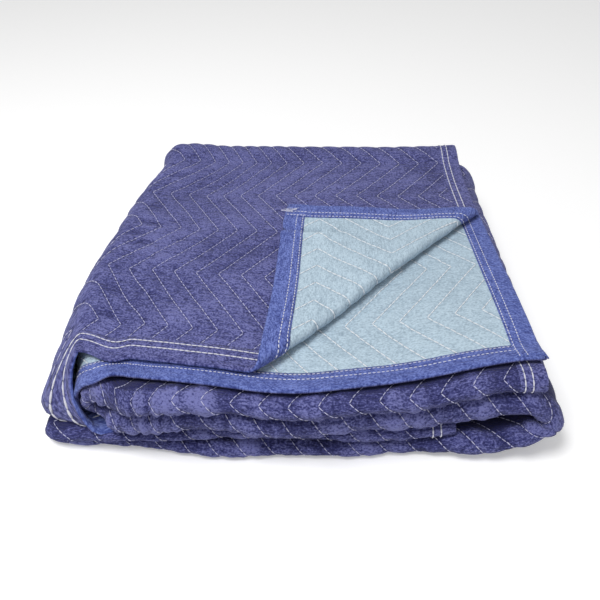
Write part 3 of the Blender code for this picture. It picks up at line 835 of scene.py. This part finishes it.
def row_line(low, high):
    """Slope and base of a row's quilting lines: u = base + slope * v + a number of pitches."""
    centre = (low + high) / 2
    slope = QUILT_SLOPE if zigzag(centre + SNAP) > zigzag(centre) else -QUILT_SLOPE
    return slope, float(zigzag(centre)) - slope * centre


def line_numbers(slope, base, low_u, high_u, low_v, high_v):
    """Which quilting lines cross a stretch of the cloth."""
    bases = [u - base - slope * v for u in (low_u, high_u) for v in (low_v, high_v)]
    return range(math.ceil(min(bases) / QUILT_PITCH), math.floor(max(bases) / QUILT_PITCH) + 1)


def refine(bm, side, low_u, high_u, low_v, high_v, step_u, step_v):
    """Divides a stretch of one side until its cells are about this long each way."""
    for along_u, step in ((True, step_u), (False, step_v)):
        by_cuts = {}
        for edge in parts_of(faces_in(bm, side, low_u, high_u, low_v, high_v), "edges"):
            across_u, across_v = (abs(edge.verts[0].co[k] - edge.verts[1].co[k]) for k in (0, 1))
            length = across_u if along_u else across_v
            if (across_v < SNAP) == along_u and length > LONG_EDGE * step:
                by_cuts.setdefault(math.ceil(length / step - CUT_SLACK) - 1, []).append(edge)
        for cuts, some in sorted(by_cuts.items()):
            bmesh.ops.subdivide_edges(bm, edges=some, cuts=cuts, use_grid_fill=True)


def cut_along_fold(bm, faces, *beyond):
    """Cuts the faces along the turned corner's fold, round its bend, and further beyond it."""
    normal = Vector((*CORNER_NORMAL, 0.0))
    bend = [CORNER_BEND * k / CORNER_CUTS for k in range(CORNER_CUTS + 1)]
    for past in (*bend, *beyond):
        faces = sliced(bm, faces, Vector((CORNER_U, WIDTH, 0)) + normal * past, normal)


def flat_places(bm):
    """Where the mesh's points lie on the flat cloth."""
    bm.verts.index_update()
    return np.array([vert.co[:] for vert in bm.verts])


def paint_sides(bm):
    """Gives the first material to the faces over the cloth's middle, and the second to the rest."""
    for face in bm.faces:
        face.material_index = 0 if face.calc_center_median().z > 0 else 1


def placed(name, data):
    """An object in the scene, at the origin."""
    made = bpy.data.objects.new(name, data)
    bpy.context.scene.collection.objects.link(made)
    return made


def finished(bm, name, materials, positions, flat, worn=None):
    """Moves the flat mesh's points to their positions, and keeps the flat places as a UV map."""
    uv_layer = bm.loops.layers.uv.new("flat_cloth")
    for face in bm.faces:
        for loop in face.loops:
            loop[uv_layer].uv = flat[loop.vert.index][:2]
    for vert, place in zip(bm.verts, positions):
        vert.co = (place[0], place[1], max(place[2], 0.0))
    if bm.calc_volume(signed=True) < 0:
        bmesh.ops.reverse_faces(bm, faces=bm.faces[:])
    mesh = bpy.data.meshes.new(name)
    bm.to_mesh(mesh)
    bm.free()
    mesh.validate()
    mesh.shade_smooth()
    # the pad's painted shade and highlight, and the tapes' wear, kept on the mesh for the cloth's
    # colour
    if worn is not None:
        values = mesh.attributes.new("relief", "FLOAT", "POINT").data
        values.foreach_set("value", worn.astype(np.float32))
    for material in materials:
        mesh.materials.append(material)
    obj = placed(name, mesh)
    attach(obj, "root")
    return obj


# ---------------------------------------------------------------- materials


def linked(tree, node_type, inputs=(), **settings):
    """Adds a node, sets it up, and links or sets its inputs."""
    node = tree.nodes.new(node_type)
    for name, value in settings.items():
        setattr(node, name, value)
    for key, value in dict(inputs).items():
        if isinstance(value, bpy.types.NodeSocket):
            tree.links.new(value, node.inputs[key])
        else:
            node.inputs[key].default_value = value
    return node


def math_node(tree, operation, a, b=0.0, c=0.0):
    return linked(tree, "ShaderNodeMath", {0: a, 1: b, 2: c}, operation=operation).outputs[0]


def mixed(tree, share, a, b):
    """The colour a, turning into b as the share grows."""
    return linked(tree, "ShaderNodeMix", {0: share, 6: a, 7: b}, data_type="RGBA").outputs[2]


def node_group(name, inputs, outputs):
    """A new group with its sockets, and the sockets inside that stand for them."""
    group = bpy.data.node_groups.new(name, "ShaderNodeTree")
    for label, kind, default in inputs:
        made = group.interface.new_socket(label, in_out="INPUT", socket_type=kind)
        if default is not None:
            made.default_value = default
    for label, kind in outputs:
        group.interface.new_socket(label, in_out="OUTPUT", socket_type=kind)
    start = group.nodes.new("NodeGroupInput").outputs
    return group, start, group.nodes.new("NodeGroupOutput").inputs


def cloth_grain():
    """The look of worn cotton: a fine weave, blotches of colour, small creases, and painted shade
    and highlight.
    """
    name = "cloth_grain"
    if name in bpy.data.node_groups:
        return bpy.data.node_groups[name]
    group, start, end = node_group(name, GRAIN_INPUTS, GRAIN_OUTPUTS)
    vector = start["Vector"]

    def noise_at(scale, stretch, detail, roughness):
        mapped = linked(group, "ShaderNodeMapping", {"Vector": vector, "Scale": stretch})
        inputs = {"Scale": scale, "Detail": detail, "Roughness": roughness}
        inputs["Vector"] = mapped.outputs[0]
        return linked(group, "ShaderNodeTexNoise", inputs).outputs["Fac"]

    def threads(scale, direction):
        inputs = {"Vector": vector, "Scale": scale, "Distortion": 1.2, "Detail": 1.0}
        made = linked(group, "ShaderNodeTexWave", inputs, bands_direction=direction)
        return made.outputs["Fac"]

    def ridges(fac):
        """Narrow ridges where the noise crosses its middle."""
        away = math_node(group, "ABSOLUTE", math_node(group, "SUBTRACT", fac, 0.5))
        return math_node(group, "SUBTRACT", 1.0, math_node(group, "MULTIPLY", away, STEEP))

    def weighed(shares):
        """The named fields times their shares, added up."""
        total = 0.0
        for label, share in shares.items():
            total = math_node(group, "MULTIPLY_ADD", field[label], share, total)
        return total

    def ranged(value, low, high):
        inputs = {"Value": value, "From Min": low, "From Max": high}
        return linked(group, "ShaderNodeMapRange", inputs).outputs[0]

    field = {label: noise_at(*grain) for label, grain in GRAINS.items()}
    for label in ("crease", "crumple"):
        field[label] = ridges(field[label])
    field["weave"] = math_node(group, "MULTIPLY", threads(WARP, "X"), threads(WEFT, "Y"))
    field["creases"] = math_node(group, "MULTIPLY", weighed(CREASING), start["Creases"])

    share = start["Relief share"]
    # the relief brings in painted shade, dark in grooves, creases and between the noses, and
    # painted highlight on ridges
    shaded_tone = math_node(group, "MULTIPLY_ADD", start["Relief"], share, weighed(TONE))
    centred = math_node(group, "SUBTRACT", shaded_tone, math_node(group, "MULTIPLY", share, 0.5))
    mask = ranged(centred, *MASK)
    body = mixed(group, ranged(mask, 0.0, 0.5), start["Dark"], start["Cloth"])
    colour = mixed(group, ranged(mask, 0.5, 1.0), body, start["Worn"])
    group.links.new(colour, end["Colour"])
    group.links.new(weighed(RAISED), end["Height"])
    return group


def thread_twist():
    """The look of twisted thread, darker between its strands."""
    name = "thread_twist"
    if name in bpy.data.node_groups:
        return bpy.data.node_groups[name]
    group, start, end = node_group(name, TWIST_INPUTS, GRAIN_OUTPUTS[:1])
    inputs = {"Vector": start["Vector"], "Scale": TWIST_SCALE}
    twist = linked(group, "ShaderNodeTexNoise", inputs).outputs["Fac"]
    group.links.new(mixed(group, twist, start["Dark"], start["Thread"]), end["Colour"])
    return group


def new_material(name, settings):
    """Makes a material whose shader has these settings, and returns its nodes and the shader."""
    material = bpy.data.materials.new(name)
    material.use_nodes = True
    shader = material.node_tree.nodes["Principled BSDF"]
    for key, value in settings.items():
        shader.inputs[key].default_value = value
    return material.node_tree, shader


def cloth_material(name, colours, relief_share, creases, bump_depth, roughness, sheen):
    settings = {"Roughness": roughness, "Sheen Weight": sheen, "Specular IOR Level": 0.2}
    tree, shader = new_material(name, settings)
    inputs = {key: (*colour, 1) for key, colour in zip(("Dark", "Cloth", "Worn"), colours)}
    inputs["Vector"] = linked(tree, "ShaderNodeUVMap", uv_map="flat_cloth").outputs[0]
    # painted shade and highlight on the pad, wear on the tapes
    height = linked(tree, "ShaderNodeAttribute", attribute_name="relief").outputs["Fac"]
    inputs |= {"Relief": height, "Relief share": relief_share, "Creases": creases}
    grain = linked(tree, "ShaderNodeGroup", inputs, node_tree=cloth_grain()).outputs
    bump_inputs = {"Height": grain["Height"], "Strength": 0.8, "Distance": bump_depth}
    raised = linked(tree, "ShaderNodeBump", bump_inputs).outputs[0]
    tree.links.new(grain["Colour"], shader.inputs["Base Color"])
    tree.links.new(raised, shader.inputs["Normal"])


def thread_material(name, thread):
    tree, shader = new_material(name, {"Roughness": 0.6})
    inputs = {"Dark": (*[THREAD_SHADE * c for c in thread], 1), "Thread": (*thread, 1)}
    inputs["Vector"] = linked(tree, "ShaderNodeTexCoord").outputs["Object"]
    twist = linked(tree, "ShaderNodeGroup", inputs, node_tree=thread_twist())
    tree.links.new(twist.outputs["Colour"], shader.inputs["Base Color"])


def materials():
    """The finishes, made once and shared."""
    style = bpy.context.scene.blanket_colours
    if "navy_cotton" not in bpy.data.materials:
        for name, (cloth, *finish) in CLOTHS.items():
            colours = [getattr(style, cloth + shade) for shade in ("_dark", "", "_worn")]
            cloth_material(name, colours, *finish)
        for name in ("hem_thread", "quilting_thread", "back_thread"):
            thread_material(name, getattr(style, name))
    return bpy.data.materials


# ---------------------------------------------------------------- settings


def length_of(name, description, default, least=0.0):
    return bpy.props.FloatProperty(
        name=name, description=description, default=default, min=least, subtype="DISTANCE"
    )


def colour_of(name, description, default):
    return bpy.props.FloatVectorProperty(
        name=name, description=description, default=default, min=0, max=1, subtype="COLOR"
    )


def stage_value(name, description, default, least, unit):
    return bpy.props.FloatProperty(
        name=name, description=description, default=default, min=least, unit=unit
    )


class BlanketCloth(bpy.types.PropertyGroup):
    """Shape of the cloth's surface."""

    groove_depth: length_of(
        "Groove depth", "How deep the quilting lines lie below the pillows between them", 0.0015
    )
    wrinkle_height: length_of(
        "Wrinkle height", "Height of the creases in the cloth that shows", 0.0010
    )
    tape_thickness: length_of(
        "Tape thickness", "Thickness of the tape sewn over the edges", 0.0008, 0.0002
    )


class BlanketStitches(bpy.types.PropertyGroup):
    """Size of the stitches."""

    quilt_stitch: length_of("Quilting stitch", "Length of one quilting stitch", 0.0050, 0.001)
    quilt_gap: length_of("Quilting gap", "Gap between two quilting stitches", 0.0005)
    quilt_width: length_of("Quilting thread", "Thickness of the quilting thread", 0.0010, 0.0002)
    hem_stitch: length_of("Hem stitch", "Length of one stitch along the tapes", 0.0066, 0.001)
    hem_gap: length_of(
        "Hem gap", "Gap between two stitches along the tapes, or their overlap", -0.0006, -0.002
    )
    hem_width: length_of(
        "Hem thread", "Thickness of the thread along the tapes, on the navy side", 0.0016, 0.0002
    )


class BlanketColours(bpy.types.PropertyGroup):
    """Colours of the cloths and the thread."""

    # On the pad the dark colours are painted shade in grooves, creases and between the noses, and
    # the worn colours are partly painted highlight on ridges
    navy_dark: colour_of("Navy, dark", "Face cloth in its creases", (0.021, 0.023, 0.105))
    navy: colour_of("Navy", "Face cloth", (0.064, 0.069, 0.226))
    navy_worn: colour_of("Navy, worn", "Face cloth where it is rubbed", (0.185, 0.195, 0.460))
    aqua_dark: colour_of("Aqua, dark", "Back cloth in its creases", (0.300, 0.390, 0.470))
    aqua: colour_of("Aqua", "Back cloth", (0.400, 0.510, 0.600))
    aqua_worn: colour_of("Aqua, pale", "Back cloth where it is paler", (0.510, 0.635, 0.730))
    binding_dark: colour_of("Binding, dark", "Tape in its creases", (0.034, 0.048, 0.215))
    binding: colour_of("Binding", "Tape on the back side", (0.077, 0.108, 0.350))
    binding_worn: colour_of("Binding, worn", "Tape where it is rubbed", (0.175, 0.230, 0.580))
    hem_thread: colour_of("Hem thread", "Thread of the hems", (0.80, 0.80, 0.90))
    quilting_thread: colour_of("Quilting thread", "Quilting on the navy side", (0.60, 0.60, 0.84))
    back_thread: colour_of("Back thread", "Quilting on the aqua side", (0.86, 0.90, 0.94))


class BlanketStage(bpy.types.PropertyGroup):
    """Floor, lights and camera."""

    floor_colour: colour_of("Floor", "Colour of the floor", (0.90, 0.90, 0.90))
    key_power: stage_value("Key light", "Strength of the main light", 21.2, 0, "POWER")
    fill_power: stage_value("Fill light", "Strength of the front light", 0.9, 0, "POWER")
    lens: stage_value("Lens", "Focal length on a 36 mm wide sensor", 36.1, 10, "CAMERA")


# ---------------------------------------------------------------- pieces


class BLANKET_OT_pad(bpy.types.Operator):
    """Makes the quilted pad: navy face, pale back, grooves along the quilting and creases"""

    bl_idname = "blanket.pad"
    bl_label = "Quilted pad"

    def execute(self, context):
        bm = quilted_slab()
        for name in ("turn_12", "turn_23", "turn_34"):
            start, end = U_AT[name] - TURN_MARGIN, U_AT[name] + SPAN[name] + TURN_MARGIN
            for side in (NAVY, AQUA):
                refine(bm, side, start, end, 0, WIDTH, QUILT_PITCH / TURN_CELLS, PLY_STEP)
        for zone in SHOWN:
            refine(bm, *zone, QUILT_PITCH / SHOWN_CELLS, FINE_STEP)
        corner = (-LEAST_STEP, CORNER_U + CORNER_MARGIN)
        corner += (WIDTH - CORNER_V - CORNER_MARGIN, WIDTH + LEAST_STEP)
        near = [face for side in (NAVY, AQUA, 0) for face in faces_in(bm, side, *corner)]
        cut_along_fold(bm, near, CORNER_BEND + CORNER_SETTLE / 2)
        bmesh.ops.triangulate(bm, faces=bm.faces[:], quad_method="SHORT_EDGE")
        paint_sides(bm)
        flat = flat_places(bm)
        u, v, side = flat.T

        def on_each_side(field):
            return np.where(side > 0, field(u, v, NAVY), field(u, v, AQUA))

        cloths = [materials()[cloth] for cloth in ("navy_cotton", "aqua_backing")]
        positions = laid(u, v, side * on_each_side(cloth_height))
        # with the painted shade and highlight of each side, for the colour
        pad = finished(bm, "blanket_pad", cloths, positions, flat, on_each_side(relief))
        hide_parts("quilted_pad")
        return {"FINISHED"}


def tape_laid(bm, name, patch, seed):
    """Lays a flat tape on the folded blanket, worn in patches of about this size."""
    flat = flat_places(bm)
    even, patches = TAPE_WORN
    worn = even + patches * noise_field(flat[:, 0], flat[:, 1], patch, patch, seed)
    cloths = [materials()[cloth] for cloth in ("navy_cotton", "binding_cotton")]
    return finished(bm, name, cloths, laid(*flat.T), flat, worn)


def add_tape(name, node, along_u, far_edge):
    """A tape folded over one edge of the pad, with its two lips on the cloth.

    Its sections run from 0 to 1 on the upper lip, to 2 round the edge and to 3 on the lower lip.
    """
    full = bpy.context.scene.blanket_cloth.tape_thickness
    run_length, size = (LENGTH, WIDTH) if along_u else (WIDTH, LENGTH)
    lip = [k / LIP_STEPS for k in range(LIP_STEPS + 1)]
    turn = [1 + k / TURN_STEPS for k in range(1, TURN_STEPS + 1)]
    sections = lip + turn + [2 + share for share in lip[1:]]
    bm = flat_slab([*steps_between(0.0, run_length, TAPE_STEP), run_length], sections)
    run, section, outer = flat_places(bm).T
    outer = (outer + 1) / 2
    inset = TAPE_WIDTH * np.maximum(np.maximum(1 - section, section - 2), 0.0)
    angle = math.pi * np.clip(section - 1, 0, 1)
    u, v = (run, inset) if along_u else (inset, run)
    thickness = full * outer * np.where(section < 1, mix(LIP_THIN, 1.0, section), 1.0)
    puckers = noise_field(run, section * PUCKER_RUN, *PUCKER_GRAIN)
    pucker = PUCKER * puckers * outer * (section > PUCKER_FROM)
    reach = half_pad(u, v) + TAPE_LIFT + thickness + pucker
    if along_u and far_edge:
        reach += flap_tuck(u, WIDTH - v) * (section >= 1.5)
    if not along_u:
        reach += full * over_long_tapes(run)
    edge = inset - reach * np.sin(angle)
    place = size - edge if far_edge else edge
    flat_u, flat_v = (run, place) if along_u else (place, run)
    for vert, spot in zip(bm.verts, zip(flat_u, flat_v, reach * np.cos(angle))):
        vert.co = spot
    paint_sides(bm)
    near = []
    for face in bm.faces:
        centre = face.calc_center_median()
        if centre.x < CORNER_U + TAPE_MARGIN and centre.y > WIDTH - CORNER_V - TAPE_MARGIN:
            near.append(face)
    if near:
        cut_along_fold(bm, near)
    bmesh.ops.triangulate(bm, faces=bm.faces[:], quad_method="SHORT_EDGE")
    tape = tape_laid(bm, name, *TAPE_PATCHES)
    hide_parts(node)


class BLANKET_OT_tapes(bpy.types.Operator):
    """Makes the four tapes that bind the edges"""

    bl_idname = "blanket.tapes"
    bl_label = "Binding tapes"

    def execute(self, context):
        add_tape("long_tape_a", "binding_long_a", True, True)
        add_tape("long_tape_b", "binding_long_b", True, False)
        add_tape("end_tape_1", "binding_end_1", False, False)
        add_tape("end_tape_4", "binding_end_4", False, True)
        return {"FINISHED"}


def stitch_line(bm, start, end, length, gap, width):
    """Lays stitches along a straight line of the flat cloth. Z holds the height over the cloth."""
    direction = end - start
    count = int((direction.length + gap) / (length + gap))
    if count < 1:
        return
    step = direction / count
    turn = direction.to_track_quat("Z", "Y").to_matrix().to_4x4()
    stretch = direction.length / count / (length + gap)
    scale = Matrix.Diagonal((width / 2, width / 2, length / 2 * stretch, 1))
    place = Matrix.Translation(start + step / 2) @ turn @ scale
    line = bmesh.new()
    bmesh.ops.create_uvsphere(line, u_segments=4, v_segments=4, radius=1, matrix=place)
    if count > 1:
        repeat = {"axis": (0, 0, 1), "dvec": step, "steps": count - 1, "use_duplicate": True}
        bmesh.ops.spin(line, geom=line.faces[:], **repeat)
    mesh = bpy.data.meshes.new("stitch_line")
    line.to_mesh(mesh)
    line.free()
    bm.from_mesh(mesh)
    bpy.data.meshes.remove(mesh)


def finish_stitches(bm, name, side, lift, thread, hem=False):
    """Lays flat stitches over the folded cloth, or over the tapes."""
    flat = flat_places(bm)
    u, v, height = flat.T
    if hem:
        thickness = bpy.context.scene.blanket_cloth.tape_thickness
        crossing = (u < TAPE_WIDTH) | (u > LENGTH - TAPE_WIDTH)
        base = half_pad(u, v) + thickness
        base = base + thickness * np.where(crossing, over_long_tapes(v), 0)
        base = base + (flap_tuck(u, v) if side == AQUA else 0)
    else:
        base = cloth_height(u, v, side)
    positions = laid(u, v, side * (base + height + lift))
    return finished(bm, name, [materials()[thread]], positions, flat)


def clipped_line(slope, base, low_u, high_u, low_v, high_v):
    """The part of the line u = base + slope * v inside a stretch of the cloth, or None."""
    ends = sorted((low_u - base, high_u - base), key=lambda value: value / slope)
    low, high = max(low_v, ends[0] / slope), min(high_v, ends[1] / slope)
    if high - low < LEAST_LINE:
        return None
    return Vector((base + slope * low, low, 0)), Vector((base + slope * high, high, 0))


class BLANKET_OT_quilting(bpy.types.Operator):
    """Lays the zigzag quilting stitches on the cloth that shows"""

    bl_idname = "blanket.quilting"
    bl_label = "Quilting stitches"

    def execute(self, context):
        style = context.scene.blanket_stitches
        length, gap, width = BACK_QUILTING
        sizes = {
            NAVY: (style.quilt_stitch, style.quilt_gap, style.quilt_width),
            AQUA: (style.quilt_stitch * length, gap, style.quilt_width * width),
        }
        bms = {NAVY: bmesh.new(), AQUA: bmesh.new()}
        for side, low_u, high_u, low_v, high_v in SHOWN:
            run = max(low_u, TAPE_WIDTH), min(high_u, LENGTH - TAPE_WIDTH)
            rows = quilt_rows(max(low_v, TAPE_WIDTH), min(high_v, WIDTH - TAPE_WIDTH))
            for row in rows:
                slope, base = row_line(*row)
                for number in line_numbers(slope, base, *run, *row):
                    line = clipped_line(slope, base + number * QUILT_PITCH, *run, *row)
                    if line:
                        stitch_line(bms[side], *line, *sizes[side])
        for side, name, thread in (
            (NAVY, "quilting_navy_side", "quilting_thread"),
            (AQUA, "quilting_aqua_side", "back_thread"),
        ):
            made = finish_stitches(bms[side], name, side, QUILT_LIFT, thread)
        return {"FINISHED"}


class BLANKET_OT_hems(bpy.types.Operator):
    """Lays the two rows of stitches along each tape, on both sides of the cloth"""

    bl_idname = "blanket.hems"
    bl_label = "Hem stitches"

    def execute(self, context):
        style = context.scene.blanket_stitches
        bold = (style.hem_stitch, style.hem_gap, style.hem_width)
        length, gap, width = PLAIN_HEM
        plain = (style.hem_stitch * length, style.hem_gap + gap, style.hem_width * width)
        ends_u = (TAPE_WIDTH - HEM_START, LENGTH - TAPE_WIDTH + HEM_START)
        ends_v = (HEM_INSET, WIDTH - HEM_INSET)
        for side, name, size in ((NAVY, "hems_navy_side", bold), (AQUA, "hems_aqua_side", plain)):
            bm = bmesh.new()
            for inset in HEM_ROWS[side]:
                for v in (inset, WIDTH - inset):
                    stitch_line(bm, *(Vector((u, v, 0)) for u in ends_u), *size)
                for u in (inset, LENGTH - inset):
                    stitch_line(bm, *(Vector((u, v, 0)) for v in ends_v), *size)
            made = finish_stitches(bm, name, side, HEM_LIFT, "hem_thread", hem=True)
        return {"FINISHED"}


def thread_loop(bm, centre, reach, slant, turns, width):
    """A long, flat, untidy loop of loose thread over the cloth, of short stitches end to end."""
    steps = round(LOOP_STEPS * turns)
    wobble, wobbles = LOOP_WOBBLE
    low, rise = LOOP_HEIGHTS
    points = []
    for k in range(steps + 1):
        angle = 2 * math.pi * turns * k / steps
        along_loop = reach * math.cos(angle) * (1 - LOOP_SHRINK * k / steps)
        beside = LOOP_NARROW * reach * math.sin(angle) + wobble * math.sin(wobbles * angle)
        spot = (centre[0] + beside + slant * along_loop, centre[1] + along_loop)
        points.append(Vector((*spot, low + rise * math.sin(angle / 2) ** 2)))
    for start, end in zip(points[:-1], points[1:]):
        over = (end - start) * LOOP_OVER
        length = (end - start).length * LOOP_STITCH
        stitch_line(bm, start - over, end + over, length, 0.0, width)


class BLANKET_OT_loose_ends(bpy.types.Operator):
    """Adds the curls of thread at the turned corner and the tape's end at the front"""

    bl_idname = "blanket.loose_ends"
    bl_label = "Loose ends"

    def execute(self, context):
        width = context.scene.blanket_stitches.hem_width * CURL_THREAD
        bm = bmesh.new()
        for u, inset, *shape in CURLS:
            thread_loop(bm, (u, WIDTH - inset), *shape, width)
        curls = finish_stitches(bm, "thread_curls", AQUA, CURL_LIFT, "hem_thread", hem=True)

        columns = [TAB_START + TAB_STEP_U * k for k in range(TAB_COLUMNS)]
        bm = flat_slab(columns, [TAB_STEP_V * k for k in range(TAB_ROWS)])
        paint_sides(bm)
        thick, thinner = TAB_HEIGHTS
        for vert in bm.verts:
            u, v, side = vert.co
            share = (TAB_FROM - u) / TAB_LENGTH
            v = TAB_PLACE + (v - TAB_MIDDLE) * (1 - TAB_NARROWS * share**TAB_POWER)
            vert.co = (u, v, side * (thick - thinner * share) + TAB_LIFT * share**2)
        tab = tape_laid(bm, "tape_corner", *TAB_PATCHES)
        return {"FINISHED"}


class BLANKET_OT_stage(bpy.types.Operator):
    """Adds the floor, the soft lights and the camera"""

    bl_idname = "blanket.stage"
    bl_label = "Stage"

    def execute(self, context):
        style = context.scene.blanket_stage
        bm = bmesh.new()
        level = Matrix.Translation((0, 0, FLOOR_LEVEL))
        bmesh.ops.create_grid(bm, x_segments=1, y_segments=1, size=FLOOR_SIZE, matrix=level)
        mesh = bpy.data.meshes.new("floor")
        bm.to_mesh(mesh)
        bm.free()
        floor = placed("floor", mesh)
        settings = {"Base Color": (*style.floor_colour, 1), "Roughness": 0.9}
        tree, shader = new_material("floor_paint", settings | {"Emission Color": (1, 1, 1, 1)})
        seen = linked(tree, "ShaderNodeLightPath").outputs["Is Camera Ray"]
        glow = math_node(tree, "MULTIPLY", seen, FLOOR_GLOW)
        tree.links.new(glow, shader.inputs["Emission Strength"])
        mesh.materials.append(bpy.data.materials["floor_paint"])

        for (name, place, size), power in zip(LIGHTS, (style.key_power, style.fill_power)):
            light = bpy.data.lights.new(name, "AREA")
            light.shape = "DISK"
            light.size = size
            light.energy = power
            lamp = placed(name, light)
            lamp.location = place
            lamp.rotation_euler = (-Vector(place)).to_track_quat("-Z", "Y").to_euler()

        world = bpy.data.worlds.new("studio")
        world.use_nodes = True
        tree = world.node_tree
        backdrop = tree.nodes["Background"].inputs
        backdrop["Color"].default_value = (1, 1, 1, 1)
        seen = linked(tree, "ShaderNodeLightPath").outputs["Is Camera Ray"]
        strength = math_node(tree, "MULTIPLY_ADD", seen, WORLD_GLOW, WORLD_LIGHT)
        tree.links.new(strength, backdrop["Strength"])
        context.scene.world = world
        context.scene.view_settings.view_transform = "Standard"

        camera = bpy.data.cameras.new("camera")
        camera.lens = style.lens
        camera.sensor_width = SENSOR_WIDTH
        eye = placed("camera", camera)
        eye.location = EYE
        eye.rotation_euler = EYE_TURN
        context.scene.camera = eye
        return {"FINISHED"}


GROUPS = {
    "blanket_cloth": BlanketCloth,
    "blanket_stitches": BlanketStitches,
    "blanket_colours": BlanketColours,
    "blanket_stage": BlanketStage,
}
OPERATORS = (
    BLANKET_OT_pad,
    BLANKET_OT_tapes,
    BLANKET_OT_quilting,
    BLANKET_OT_hems,
    BLANKET_OT_loose_ends,
    BLANKET_OT_stage,
)


class BLANKET_PT_panel(bpy.types.Panel):
    """Lists the blanket's pieces and settings"""

    bl_idname = "BLANKET_PT_panel"
    bl_label = "Folded blanket"
    bl_space_type = "VIEW_3D"
    bl_region_type = "UI"
    bl_category = "Blanket"

    def draw(self, context):
        layout = self.layout
        for name in GROUPS:
            box = layout.box()
            settings = getattr(context.scene, name)
            for prop in settings.__annotations__:
                box.prop(settings, prop)
        for operator in OPERATORS:
            layout.operator(operator.bl_idname)


def register():
    for made in (*GROUPS.values(), *OPERATORS, BLANKET_PT_panel):
        bpy.utils.register_class(made)
    for name, group in GROUPS.items():
        setattr(bpy.types.Scene, name, bpy.props.PointerProperty(type=group))


def unregister():
    for name in GROUPS:
        delattr(bpy.types.Scene, name)
    for made in (BLANKET_PT_panel, *reversed(OPERATORS), *reversed(GROUPS.values())):
        bpy.utils.unregister_class(made)


def main():
    register()
    bpy.ops.blanket.pad()
    bpy.ops.blanket.tapes()
    bpy.ops.blanket.quilting()
    bpy.ops.blanket.hems()
    bpy.ops.blanket.loose_ends()
    bpy.ops.blanket.stage()


if __name__ == "__main__":
    main()
